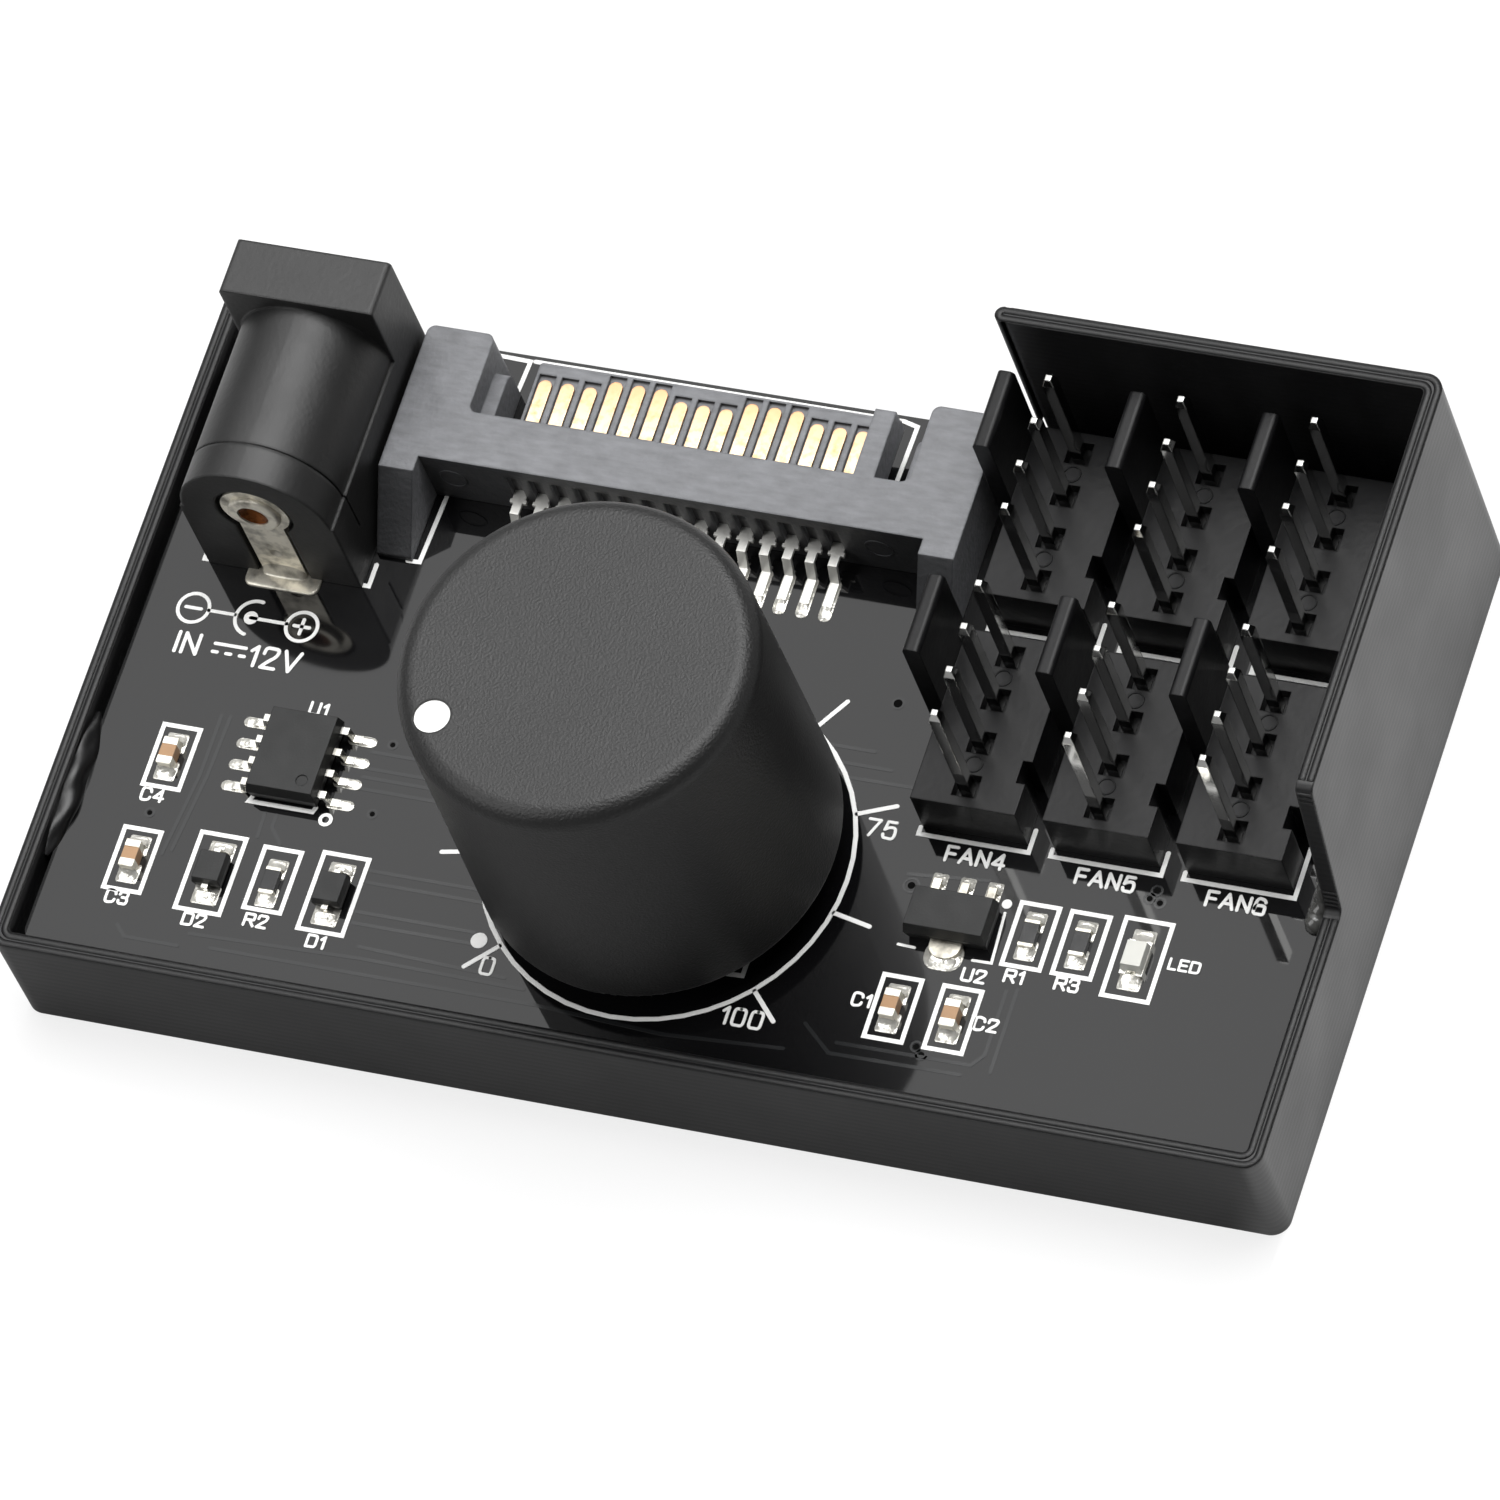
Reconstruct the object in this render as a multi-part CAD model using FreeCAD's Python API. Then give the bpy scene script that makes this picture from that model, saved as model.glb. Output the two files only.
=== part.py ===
import FreeCAD, Part
import math
import os

from FreeCAD import Vector

# Fan speed controller in a printed tray, millimetres.
# Origin at the middle of the tray's underside, X to the right, Y to the back, Z up.

# Allowances: how far a cut runs past a face, how deep a fused piece is rooted in its neighbour,
# how near two places count as one, and how much of a width a rounding may take at most
cut_past = 1.0
root = 0.2
same_place = 1e-4
most_round = 0.45
round_slack = 0.005

# Tray
case_wall = 0.9
case_floor = 1.2
case_corner_radius = 1.0
rim_above_board = 1.1
bay_above_board = 11.2
bay_slope_run = 1.4
bay_front_margin = 1.25
bay_left_inset = 0.4
bay_edge_radius = 0.5
sill_below_board = 1.2
ledge_width = 1.1
case_inner_radius_min = 0.3

# Board
board_thickness = 1.6
board_lift = 3.4
board_clearance = 0.35
board_corner_radius = 0.6
hole_clearance = 0.1
tail_length = 1.2

# Layout of the board, from its edges and between its large parts
left_margin = 2.65
jack_to_plug = 0.25
plug_to_headers = 0.65
right_margin = 1.95
plug_setback = 1.22
jack_setback = 1.6
header_setback = 0.97
knob_to_front = 11.25
knob_to_plug = 17.95
knob_from_plug_middle = 4.81

# Barrel jack
jack_width = 8.7
jack_length = 13.45
flange_thickness = 3.15
flange_height = 10.75
barrel_centre_height = 5.95
barrel_ledge = 0.18
flange_edge_radius = 0.25
bore_height = 6.4
bore_radius = 3.15
bore_depth = 9.6
jack_pin_radius = 1.0
jack_pin_recess = 0.6
jack_nose_share = 0.7
jack_seam_from_rear = 2.0
jack_seam_depth = 0.08
jack_seam_width = 0.12
eyelet_radius = 1.9
rivet_radius = 1.45
rivet_hole_radius = 0.85
rivet_rise = 0.3
strip_width = 2.5
strip_thickness = 0.4
strip_pocket_depth = 0.5
strip_pocket_gap = 0.25
spring_width = 3.0
spring_thickness = 0.35
spring_from_face = 7.4
spring_into_bore = 0.15
spring_rise = 1.6
spring_free_end = 1.4
spring_free_drop = 0.7
spring_channel_gap = 0.2
switch_width = 2.2
switch_thickness = 0.35
switch_height = 4.6
switch_from_rear = 3.0
switch_corner_radius = 0.4
switch_pocket_gap = 0.15
switch_inset = 0.1
dimple_radius = 0.5
dimple_depth = 0.15
rivet_edge_radius = 0.2
rivet_hole_depth = 0.8

# Serial-drive power plug
plug_width = 32.05
plug_bar_depth = 3.05
plug_height = 4.0
plug_arm_width = 3.75
plug_arm_length = 4.68
plug_arm_corner = 0.45
plug_leg_width = 1.95
plug_leg_top = 0.9
plug_leg_foot = 4.1
plug_leg_toe = 0.35
plug_peg_radius = 0.6
guide_rib_width = 0.8
guide_rib_height = 2.4
guide_rib_length = 3.5
guide_rib_radius = 0.6
tongue_top = 3.2
tongue_thickness = 1.1
tongue_length = 4.05
tongue_end_margin = 0.64
tongue_chamfer = 0.25
key_width = 1.15
key_gap = 0.5
key_setback = 0.1

# Its contacts
contact_count = 15
contacts_per_group = 3
contact_pitch = 1.27
contact_row_shift = -0.13
contact_width = 0.75
contact_thickness = 0.2
contact_short = 2.95
contact_long = 3.5
contact_inset = 0.02
groove_width = 0.95
groove_overrun = 0.3
lead_width = 0.5
lead_shoulder_width = 0.92
lead_exit_height = 1.25
lead_reach = 1.0
lead_drop_run = 0.35
lead_foot = 1.5
lead_slot_depth = 0.35
shoulder_length = 0.2
contact_jog_run = 0.3

# Fan headers
header_columns = 3
header_rows = 2
column_pitch = 7.19
row_pitch = 12.18
pin_pitch = 2.54
pins_per_header = 4
pin_size = 0.64
pin_height = 10.75
pin_tip = 0.45
pin_tip_taper = 0.16
header_width = 5.7
header_height = 3.1
header_end_margin = 1.2
header_pin_offset = 2.72
lock_thickness = 0.95
lock_length = 4.5
lock_height = 8.5
lock_edge_radius = 0.3
pin_pocket_size = 1.3
pin_pocket_depth = 0.7
header_notch_length = 1.3
header_notch_depth = 0.5

# Knob
knob_base_radius = 9.7
knob_taper = 0.3
knob_base_height = 2.0
knob_top_height = 20.1
knob_edge_radius = 1.1
knob_wall = 1.6
knob_roof = 1.9
knob_hub_radius = 4.6
knob_foot_radius = 0.3
knob_cavity_radius = 0.5
shaft_into_roof = 0.2
shaft_end_clearance = 0.1
shaft_end_radius = 0.4
flat_below_hub = 0.4
hub_clearance = 1.2
bore_clearance = 0.02
pointer_radius = 0.95
pointer_from_rim = 1.67
pointer_angle = 216.3
pointer_depth = 0.3
pointer_recess = 0.08

# Potentiometer
pot_width = 9.8
pot_height = 6.8
pot_floor = 3.4
pot_cover_thickness = 0.4
pot_collar_height = 0.8
pot_collar_wall = 0.6
pot_leg_width = 2.4
pot_cavity_radius = 4.3
pot_apron_depth = 1.4
pot_apron_height = 1.5
shaft_radius = 3.0
shaft_flat_depth = 1.5
running_clearance = 0.05
rotor_radius = 4.0
rotor_thickness = 1.3
rotor_axial_clearance = 0.1
pivot_radius = 0.9
track_radius = 4.0
track_thickness = 0.3
track_gap_angle = 60.0
wiper_thickness = 0.15
wiper_ring_radius = 2.4
wiper_finger_width = 0.8
wiper_lift = 0.03
wiper_pivot_gap = 0.1
wiper_root = 0.4
wiper_from_rim = 0.9
wiper_tail = 0.5
wiper_tail_rise = 0.15
track_inner_radius = 2.1
pot_terminal_pitch = 2.5
pot_terminal_width = 0.9
pot_terminal_thickness = 0.3
pot_terminal_reach = 7.0
pot_terminal_root = 1.2
pot_corner_radius = 0.5
pot_apron_inset = 0.8

# Small parts
chip_length = 4.9
chip_width = 3.9
chip_height = 1.5
chip_lead_pitch = 1.27
chip_leads_per_side = 4
chip_lead_span = 6.0
chip_lead_width = 0.42
chip_mark_radius = 0.32
chip_mark_depth = 0.06
chip_mark_inset = 0.85
lead_bend_share = 0.35
lead_slope_share = 0.12
regulator_length = 4.5
regulator_width = 2.5
regulator_height = 1.5
regulator_lead_pitch = 1.5
regulator_lead_reach = 1.0
regulator_tab_width = 1.7
regulator_tab_reach = 0.9
regulator_lead_width = 0.45
regulator_lead_root = 0.5
regulator_tab_radius = 0.75
regulator_lead_thickness = 0.36
diode_length = 1.8
diode_width = 1.6
diode_height = 0.95
diode_draft = 0.08
diode_span = 3.0
diode_lead_width = 0.36
diode_lead_run = 0.2
diode_lead_slope = 0.045
chip_part_length = 1.6
chip_part_width = 0.82
capacitor_height = 0.8
resistor_height = 0.45
capacitor_cap_length = 0.45
resistor_cap_length = 0.22
end_cap_radius = 0.08
body_inset = 0.02
led_length = 2.0
led_width = 1.25
led_base_height = 0.35
led_lens_height = 0.5
led_lens_length = 1.55
led_terminal_length = 0.4
led_terminal_notch = 0.28
led_lens_inset = 0.05
led_lens_draft = 0.08
package_draft = 0.14
package_standoff = 0.1
sheet_lead_thickness = 0.18

# Glue beads in the corner of board and wall
bead_radius = 1.0
left_bead_length = 9.0
right_bead_length = 5.2

# Places of the small parts, from the front edge and from the left or right edge
left_row = 5.45
right_row = 9.9
front_row = 4.6
chip_place = (11.4, 12.45)
left_capacitors = [(4.45, 11.6), (4.45, left_row)]
left_diodes = [(8.98, left_row), (15.72, left_row)]
left_resistor = (12.25, left_row)
right_resistors = [(14.58, right_row), (11.84, right_row)]
right_capacitors = [(20.4, front_row), (17.13, front_row)]
led_place = (8.74, 9.6)
regulator_place = (18.7, 9.85)

# Worked out from the values above
header_block = (header_columns - 1) * column_pitch + lock_thickness + header_width
header_length = (pins_per_header - 1) * pin_pitch + 2 * header_end_margin
inlets_width = jack_width + jack_to_plug + plug_width
board_width = left_margin + inlets_width + plug_to_headers + header_block + right_margin
board_depth = knob_to_front + knob_to_plug + plug_bar_depth + plug_arm_length + plug_setback
board_left = -board_width / 2
board_right = board_width / 2
board_front = -board_depth / 2
board_back = board_depth / 2
board_bottom = case_floor + board_lift
board_top = board_bottom + board_thickness
tail_end = -board_thickness - tail_length

inner_x = board_width / 2 + board_clearance
inner_y = board_depth / 2 + board_clearance
outer_x = inner_x + case_wall
outer_y = inner_y + case_wall
rim_top = board_top + rim_above_board
bay_top = board_top + bay_above_board

jack_x = board_left + left_margin + jack_width / 2
jack_y = board_back - jack_setback
plug_x = board_left + left_margin + inlets_width - plug_width / 2
plug_y = board_front + knob_to_front + knob_to_plug
header_x = plug_x + plug_width / 2 + plug_to_headers
header_y = board_back - header_setback - header_length - (header_rows - 1) * row_pitch
knob_x = plug_x + knob_from_plug_middle
knob_y = board_front + knob_to_front

first_contact_x = contact_row_shift - (contact_count - 1) / 2 * contact_pitch
last_contact_x = first_contact_x + (contact_count - 1) * contact_pitch
tongue_left = first_contact_x - tongue_end_margin
key_left = last_contact_x + key_gap
key_right = key_left + key_width
knob_top_radius = knob_base_radius - knob_taper
pointer_from_axis = knob_top_radius - pointer_from_rim
pot_body_top = pot_height - pot_cover_thickness
collar_top = pot_height + pot_collar_height
hub_bottom = collar_top + hub_clearance
cavity_top = knob_top_height - knob_roof
shaft_top = cavity_top + shaft_into_roof
rotor_top = pot_body_top - rotor_axial_clearance
rotor_bottom = rotor_top - rotor_thickness


def box(x0, x1, y0, y1, z0, z1):
    """Block between two corners."""
    return Part.makeBox(x1 - x0, y1 - y0, z1 - z0, Vector(x0, y0, z0))


def cylinder_z(radius, z0, z1, x=0.0, y=0.0):
    """Upright cylinder."""
    return Part.makeCylinder(radius, z1 - z0, Vector(x, y, z0))


def cylinder_y(radius, y0, y1, x, z):
    """Cylinder that runs from front to back."""
    return Part.makeCylinder(radius, y1 - y0, Vector(x, y0, z), Vector(0, 1, 0))


def in_xy(a, b):
    """Profile point on a level plane."""
    return Vector(a, b, 0)


def in_yz(a, b):
    """Profile point on a plane across X."""
    return Vector(0, a, b)


def in_xz(a, b):
    """Profile point on a plane across Y."""
    return Vector(a, 0, b)


def outline(points, plane):
    """Closed face through (a, b, radius) points, each corner rounded by its radius."""
    corners = [plane(point[0], point[1]) for point in points]
    radii = [point[2] if len(point) > 2 else 0.0 for point in points]
    starts, ends, middles = [], [], []
    for index, corner in enumerate(corners):
        back = (corners[index - 1] - corner).normalize()
        ahead = (corners[(index + 1) % len(corners)] - corner).normalize()
        half = back.getAngle(ahead) / 2
        reach = radii[index] / math.tan(half)
        starts.append(corner + back * reach)
        ends.append(corner + ahead * reach)
        middle = (back + ahead).normalize() * (radii[index] / math.sin(half) - radii[index])
        middles.append(corner + middle)
    edges = []
    for index in range(len(corners)):
        if radii[index] > 0:
            edges.append(Part.Arc(starts[index], middles[index], ends[index]).toShape())
        following = starts[(index + 1) % len(corners)]
        if (following - ends[index]).Length > same_place:
            edges.append(Part.LineSegment(ends[index], following).toShape())
    return Part.Face(Part.Wire(edges))


def prism_x(points, x0, x1):
    """YZ profile drawn out along X."""
    face = outline(points, in_yz)
    face.translate(Vector(x0, 0, 0))
    return face.extrude(Vector(x1 - x0, 0, 0))


def prism_y(points, y0, y1):
    """XZ profile drawn out along Y."""
    face = outline(points, in_xz)
    face.translate(Vector(0, y0, 0))
    return face.extrude(Vector(0, y1 - y0, 0))


def prism_z(points, z0, z1):
    """XY profile drawn out along Z."""
    face = outline(points, in_xy)
    face.translate(Vector(0, 0, z0))
    return face.extrude(Vector(0, 0, z1 - z0))


def turned(points):
    """(radius, height) profile turned about Z."""
    return outline(points, in_xz).revolve(Vector(0, 0, 0), Vector(0, 0, 1), 360)


def rounded_plate(half_x, half_y, radius, z0, z1):
    """Rectangle with round upright corners."""
    signs = ((-1, -1), (1, -1), (1, 1), (-1, 1))
    return prism_z([(sx * half_x, sy * half_y, radius) for sx, sy in signs], z0, z1)


def bent_strip(path, thickness):
    """Outline of sheet metal bent along a path of (a, b) points, mitred at its bends."""
    sides = ([], [])
    for index, (a, b) in enumerate(path):
        normals = []
        for first, last in ((index - 1, index), (index, index + 1)):
            if first >= 0 and last < len(path):
                run = (path[last][0] - path[first][0], path[last][1] - path[first][1])
                length = math.hypot(*run)
                normals.append((-run[1] / length, run[0] / length))
        mean = (sum(n[0] for n in normals), sum(n[1] for n in normals))
        size = math.hypot(*mean)
        mean = (mean[0] / size, mean[1] / size)
        reach = thickness / 2 / (mean[0] * normals[0][0] + mean[1] * normals[0][1])
        sides[0].append((a + mean[0] * reach, b + mean[1] * reach))
        sides[1].append((a - mean[0] * reach, b - mean[1] * reach))
    return sides[0] + sides[1][::-1]


def drafted_block(length_x, length_y, z0, z1, draft):
    """Moulded package: widest at its parting line, drafted to its top and underside."""
    middle = (z0 + z1) / 2

    def ring(inset, z):
        half_x = length_x / 2 - inset
        half_y = length_y / 2 - inset
        corners = [Vector(sx * half_x, sy * half_y, z) for sx, sy in ((-1, -1), (1, -1), (1, 1), (-1, 1))]
        return Part.makePolygon(corners + corners[:1])

    lower = Part.makeLoft([ring(draft, z0), ring(0, middle)], True, True)
    upper = Part.makeLoft([ring(0, middle), ring(draft, z1)], True, True)
    return lower.fuse(upper).removeSplitter()


def fused(shapes):
    """One solid from several that share faces."""
    return shapes[0].fuse(shapes[1:]).removeSplitter() if len(shapes) > 1 else shapes[0]


def moved(shape, x, y, z):
    """Copy of a shape at another place."""
    copy = shape.copy()
    copy.translate(Vector(x, y, z))
    return copy


def mirrored_x(shape):
    """Copy mirrored from left to right."""
    return shape.mirror(Vector(0, 0, 0), Vector(1, 0, 0))


def header_places():
    """Front left base corner of each header, back row first, then from left to right."""
    places = []
    for row in range(header_rows):
        for column in range(header_columns):
            x = header_x + lock_thickness + column * column_pitch
            y = header_y + (header_rows - 1 - row) * row_pitch
            places.append((x, y))
    return places


def pin_places():
    """Pins of one header, from its base corner."""
    return [(header_pin_offset, header_end_margin + index * pin_pitch) for index in range(pins_per_header)]


def from_left(place):
    """Board place given from the left and front edges."""
    return board_left + place[0], board_front + place[1]


def from_right(place):
    """Board place given from the right and front edges."""
    return board_right - place[0], board_front + place[1]


def make_case():
    """Printed tray: floor, ledge for the board, low rim, tall wall round the header bay, low back sill."""
    inner_radius = max(case_corner_radius - case_wall, case_inner_radius_min)
    body = rounded_plate(outer_x, outer_y, case_corner_radius, 0, bay_top)
    ledge_x = inner_x - ledge_width
    ledge_y = inner_y - ledge_width
    body = body.cut(rounded_plate(ledge_x, ledge_y, inner_radius, case_floor, board_bottom))
    body = body.cut(rounded_plate(inner_x, inner_y, inner_radius, board_bottom, bay_top + cut_past))
    slope_foot = header_y - bay_front_margin
    slope_head = slope_foot + bay_slope_run
    left = -outer_x - cut_past
    front = -outer_y - cut_past
    back = outer_y + cut_past
    high = bay_top + cut_past
    front_cut = [(front, rim_top), (slope_foot, rim_top, bay_edge_radius), (slope_head, bay_top)]
    front_cut += [(slope_head, high), (front, high)]
    body = body.cut(prism_x(front_cut, left, -left))
    bay_left = header_x + bay_left_inset
    body = body.cut(box(left, bay_left, front, back, rim_top, high))
    sill = board_bottom - sill_below_board
    body = body.cut(box(-inner_x, bay_left, ledge_y, back, sill, high))
    wall_end = [
        edge
        for edge in body.Edges
        if abs(edge.BoundBox.XMin - bay_left) < same_place
        and edge.BoundBox.XLength < same_place
        and edge.BoundBox.YLength < same_place
        and edge.BoundBox.YMin > inner_y - same_place
        and edge.BoundBox.ZMax > bay_top - same_place
    ]
    body = body.makeFillet(most_round * case_wall, wall_end)
    slope_top = [
        edge
        for edge in body.Edges
        if edge.BoundBox.XLength > case_wall - same_place
        and abs(edge.BoundBox.YMin - slope_head) < same_place
        and edge.BoundBox.YLength < same_place
        and abs(edge.BoundBox.ZMax - bay_top) < same_place
    ]
    return body.makeFillet(bay_edge_radius, slope_top)


def make_board():
    """Circuit board with its holes."""
    board = rounded_plate(board_width / 2, board_depth / 2, board_corner_radius, board_bottom, board_top)
    low = board_bottom - cut_past
    high = board_top + cut_past
    holes = []
    pin_hole = pin_size / math.sqrt(2) + hole_clearance
    for x, y in header_places():
        for dx, dy in pin_places():
            holes.append(cylinder_z(pin_hole, low, high, x + dx, y + dy))
    for side in (-1, 1):
        peg_x = plug_x + side * (plug_width - plug_arm_width) / 2
        peg_y = plug_y + plug_bar_depth / 2
        holes.append(cylinder_z(plug_peg_radius + hole_clearance, low, high, peg_x, peg_y))
        leg_x = knob_x + side * (pot_width + pot_cover_thickness) / 2
        half_x = pot_cover_thickness / 2 + hole_clearance
        half_y = pot_leg_width / 2 + hole_clearance
        holes.append(box(leg_x - half_x, leg_x + half_x, knob_y - half_y, knob_y + half_y, low, high))
    terminal_hole = math.hypot(pot_terminal_width, pot_terminal_thickness) / 2 + hole_clearance
    for index in (-1, 0, 1):
        x = knob_x + index * pot_terminal_pitch
        holes.append(cylinder_z(terminal_hole, low, high, x, knob_y - pot_terminal_reach))
    for slot in jack_slots():
        holes.append(moved(slot, jack_x, jack_y, 0))
    return board.cut(holes)


def jack_rear():
    """Rear face of the jack, from its mating face."""
    return -jack_length


def strip_middle():
    """Depth of the pin terminal's mid plane, from the mating face."""
    return jack_rear() + strip_pocket_depth - strip_thickness / 2


def switch_middle():
    """Place of the switch terminal: its mid plane in X and the middle of its width in Y."""
    x = -jack_width / 2 + switch_inset + switch_thickness / 2
    return x, jack_rear() + switch_from_rear + switch_width / 2


def jack_slots():
    """Slots in the board for the jack's three terminals."""
    low = board_bottom - cut_past
    high = board_top + cut_past
    tails = [
        (0, strip_middle(), strip_width, strip_thickness),
        (0, -spring_from_face, spring_width, spring_thickness),
        (*switch_middle(), switch_thickness, switch_width),
    ]
    slots = []
    for x, y, size_x, size_y in tails:
        half_x = size_x / 2 + hole_clearance
        half_y = size_y / 2 + hole_clearance
        slots.append(box(x - half_x, x + half_x, y - half_y, y + half_y, low, high))
    return slots


def spring_path():
    """Sleeve spring: up through the board, forward under the bore, a bump into the bore, a free end."""
    bump = bore_height - bore_radius + spring_into_bore - spring_thickness / 2
    return [
        (-spring_from_face, tail_end),
        (-spring_from_face, bump - spring_rise),
        (-flange_thickness, bump),
        (-flange_thickness + spring_free_end, bump - spring_free_drop),
    ]


def jack_terminal_plate(gap, thickness):
    """Eyelet on a neck, as the pin terminal is stamped, with a gap all round it."""
    eyelet = cylinder_y(eyelet_radius + gap, 0, thickness, 0, bore_height)
    neck = box(-strip_width / 2 - gap, strip_width / 2 + gap, 0, thickness, tail_end, bore_height)
    return fused([eyelet, neck])


def jack_arch(inset):
    """Section of the jack's body: upright sides, a ledge, and a round top, all set in by an inset."""
    half = jack_width / 2 - inset
    radius = jack_width / 2 - barrel_ledge - inset
    foot = min(inset, 0)
    shoulder = barrel_centre_height - inset
    crown = barrel_centre_height + radius
    bend = radius - round_slack
    right = [(half, foot), (half, shoulder), (radius, shoulder), (radius, crown, bend)]
    return right + [(-x, *rest) for x, *rest in right[::-1]]


def make_jack_housing():
    """Flange, round-topped body, bore, spring channel, side pocket and rear pocket."""
    half = jack_width / 2
    rear = jack_rear()
    flange_points = [(-half, 0), (half, 0), (half, flange_height, flange_edge_radius)]
    flange_points.append((-half, flange_height, flange_edge_radius))
    flange = prism_y(flange_points, -flange_thickness, 0)
    housing = fused([flange, prism_y(jack_arch(0), rear, -flange_thickness)])
    seam_front = rear + jack_seam_from_rear
    seam = prism_y(jack_arch(-cut_past), seam_front, seam_front + jack_seam_width)
    seam = seam.cut(prism_y(jack_arch(jack_seam_depth), rear, 0))
    seam = seam.common(box(-half, half, rear, 0, barrel_centre_height / 2, flange_height))
    cuts = [seam, cylinder_y(bore_radius, -bore_depth, cut_past, 0, bore_height)]
    cuts.append(cylinder_y(jack_pin_radius, rear - cut_past, 0, 0, bore_height))
    channel = spring_width / 2 + spring_channel_gap
    channel_rear = -spring_from_face - spring_thickness / 2 - spring_channel_gap
    channel_front = -flange_thickness + spring_free_end + spring_channel_gap
    cuts.append(box(-channel, channel, channel_rear, channel_front, -cut_past, bore_height))
    strip_pocket = jack_terminal_plate(strip_pocket_gap, cut_past)
    cuts.append(moved(strip_pocket, 0, rear + strip_pocket_depth - cut_past, 0))
    switch_x, switch_y = switch_middle()
    pocket_x = switch_x + switch_thickness / 2
    pocket_half = switch_width / 2 + switch_pocket_gap
    pocket_top = switch_height + switch_pocket_gap
    side_pocket = box(-half - cut_past, pocket_x, -pocket_half, pocket_half, -cut_past, pocket_top)
    cuts.append(moved(side_pocket, 0, switch_y, 0))
    return housing.cut(cuts)


def make_jack_pin():
    """Turned centre pin with a round nose, riveted over at the rear with an open rivet hole."""
    nose = -jack_pin_recess
    face = jack_rear() + strip_pocket_depth - strip_thickness
    length = nose - face
    profile = [
        (0, -rivet_rise),
        (rivet_radius, -rivet_rise, rivet_edge_radius),
        (rivet_radius, 0),
        (jack_pin_radius, 0),
        (jack_pin_radius, length, jack_pin_radius * jack_nose_share),
        (0, length),
    ]
    hole = cylinder_z(rivet_hole_radius, -rivet_rise - cut_past, rivet_hole_depth - rivet_rise)
    pin = turned(profile).cut(hole)
    pin.rotate(Vector(0, 0, 0), Vector(1, 0, 0), -90)
    return moved(pin, 0, face, bore_height)


def make_jack_strip():
    """Stamped pin terminal with a dimple, through the board."""
    outer = jack_rear() + strip_pocket_depth - strip_thickness
    strip = jack_terminal_plate(0, strip_thickness)
    strip = strip.cut(cylinder_y(jack_pin_radius, -cut_past, strip_thickness + cut_past, 0, bore_height))
    dimple = Part.makeSphere(dimple_radius, Vector(0, dimple_depth - dimple_radius, bore_height / 3))
    return moved(strip.cut(dimple), 0, outer, 0)


def make_jack_spring():
    """Leaf that presses on the plug's sleeve."""
    return prism_x(bent_strip(spring_path(), spring_thickness), -spring_width / 2, spring_width / 2)


def make_jack_switch():
    """Side terminal in its pocket, through the board."""
    x, y = switch_middle()
    half_x = switch_thickness / 2
    half_y = switch_width / 2
    radius = switch_corner_radius
    plate = [(-half_y, tail_end, radius), (half_y, tail_end, radius)]
    plate += [(half_y, switch_height, radius), (-half_y, switch_height, radius)]
    return moved(prism_x(plate, -half_x, half_x), x, y, 0)


def contact_reach(index):
    """Length of a contact's blade past the bar: groups in turn are short and long."""
    return contact_long if (index // contacts_per_group) % 2 else contact_short


def make_contact(reach):
    """One formed contact: round-ended blade, jog inside the bar, shoulder, drop and foot."""
    blade_z = tongue_top - contact_inset - contact_thickness / 2
    tip = plug_bar_depth + reach
    jog = plug_bar_depth / 2
    shoulder_front = -2 * shoulder_length
    exit_path = [(tip, blade_z), (jog, blade_z), (jog - contact_jog_run, lead_exit_height)]
    exit_path.append((-shoulder_length, lead_exit_height))
    blade = prism_x(bent_strip(exit_path, contact_thickness), -contact_width / 2, contact_width / 2)
    round_end = contact_width / 2 - round_slack
    plan = [
        (-contact_width / 2, -cut_past),
        (contact_width / 2, -cut_past),
        (contact_width / 2, tip, round_end),
        (-contact_width / 2, tip, round_end),
    ]
    blade = blade.common(prism_z(plan, 0, plug_height))
    foot_z = contact_thickness / 2
    heel = -lead_reach - lead_drop_run
    lead_path = [(0, lead_exit_height), (-lead_reach, lead_exit_height)]
    lead_path += [(heel, foot_z), (heel - lead_foot, foot_z)]
    lead = prism_x(bent_strip(lead_path, contact_thickness), -lead_width / 2, lead_width / 2)
    half = lead_shoulder_width / 2
    shoulder_z = lead_exit_height - contact_thickness / 2
    shoulder_top = shoulder_z + contact_thickness
    shoulder = box(-half, half, shoulder_front, -shoulder_length, shoulder_z, shoulder_top)
    return fused([blade, lead, shoulder])


def make_contacts():
    """All contacts in place."""
    kinds = {reach: make_contact(reach) for reach in (contact_short, contact_long)}
    contacts = []
    for index in range(contact_count):
        x = first_contact_x + index * contact_pitch
        contacts.append(moved(kinds[contact_reach(index)], x, 0, 0))
    return contacts


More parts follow.
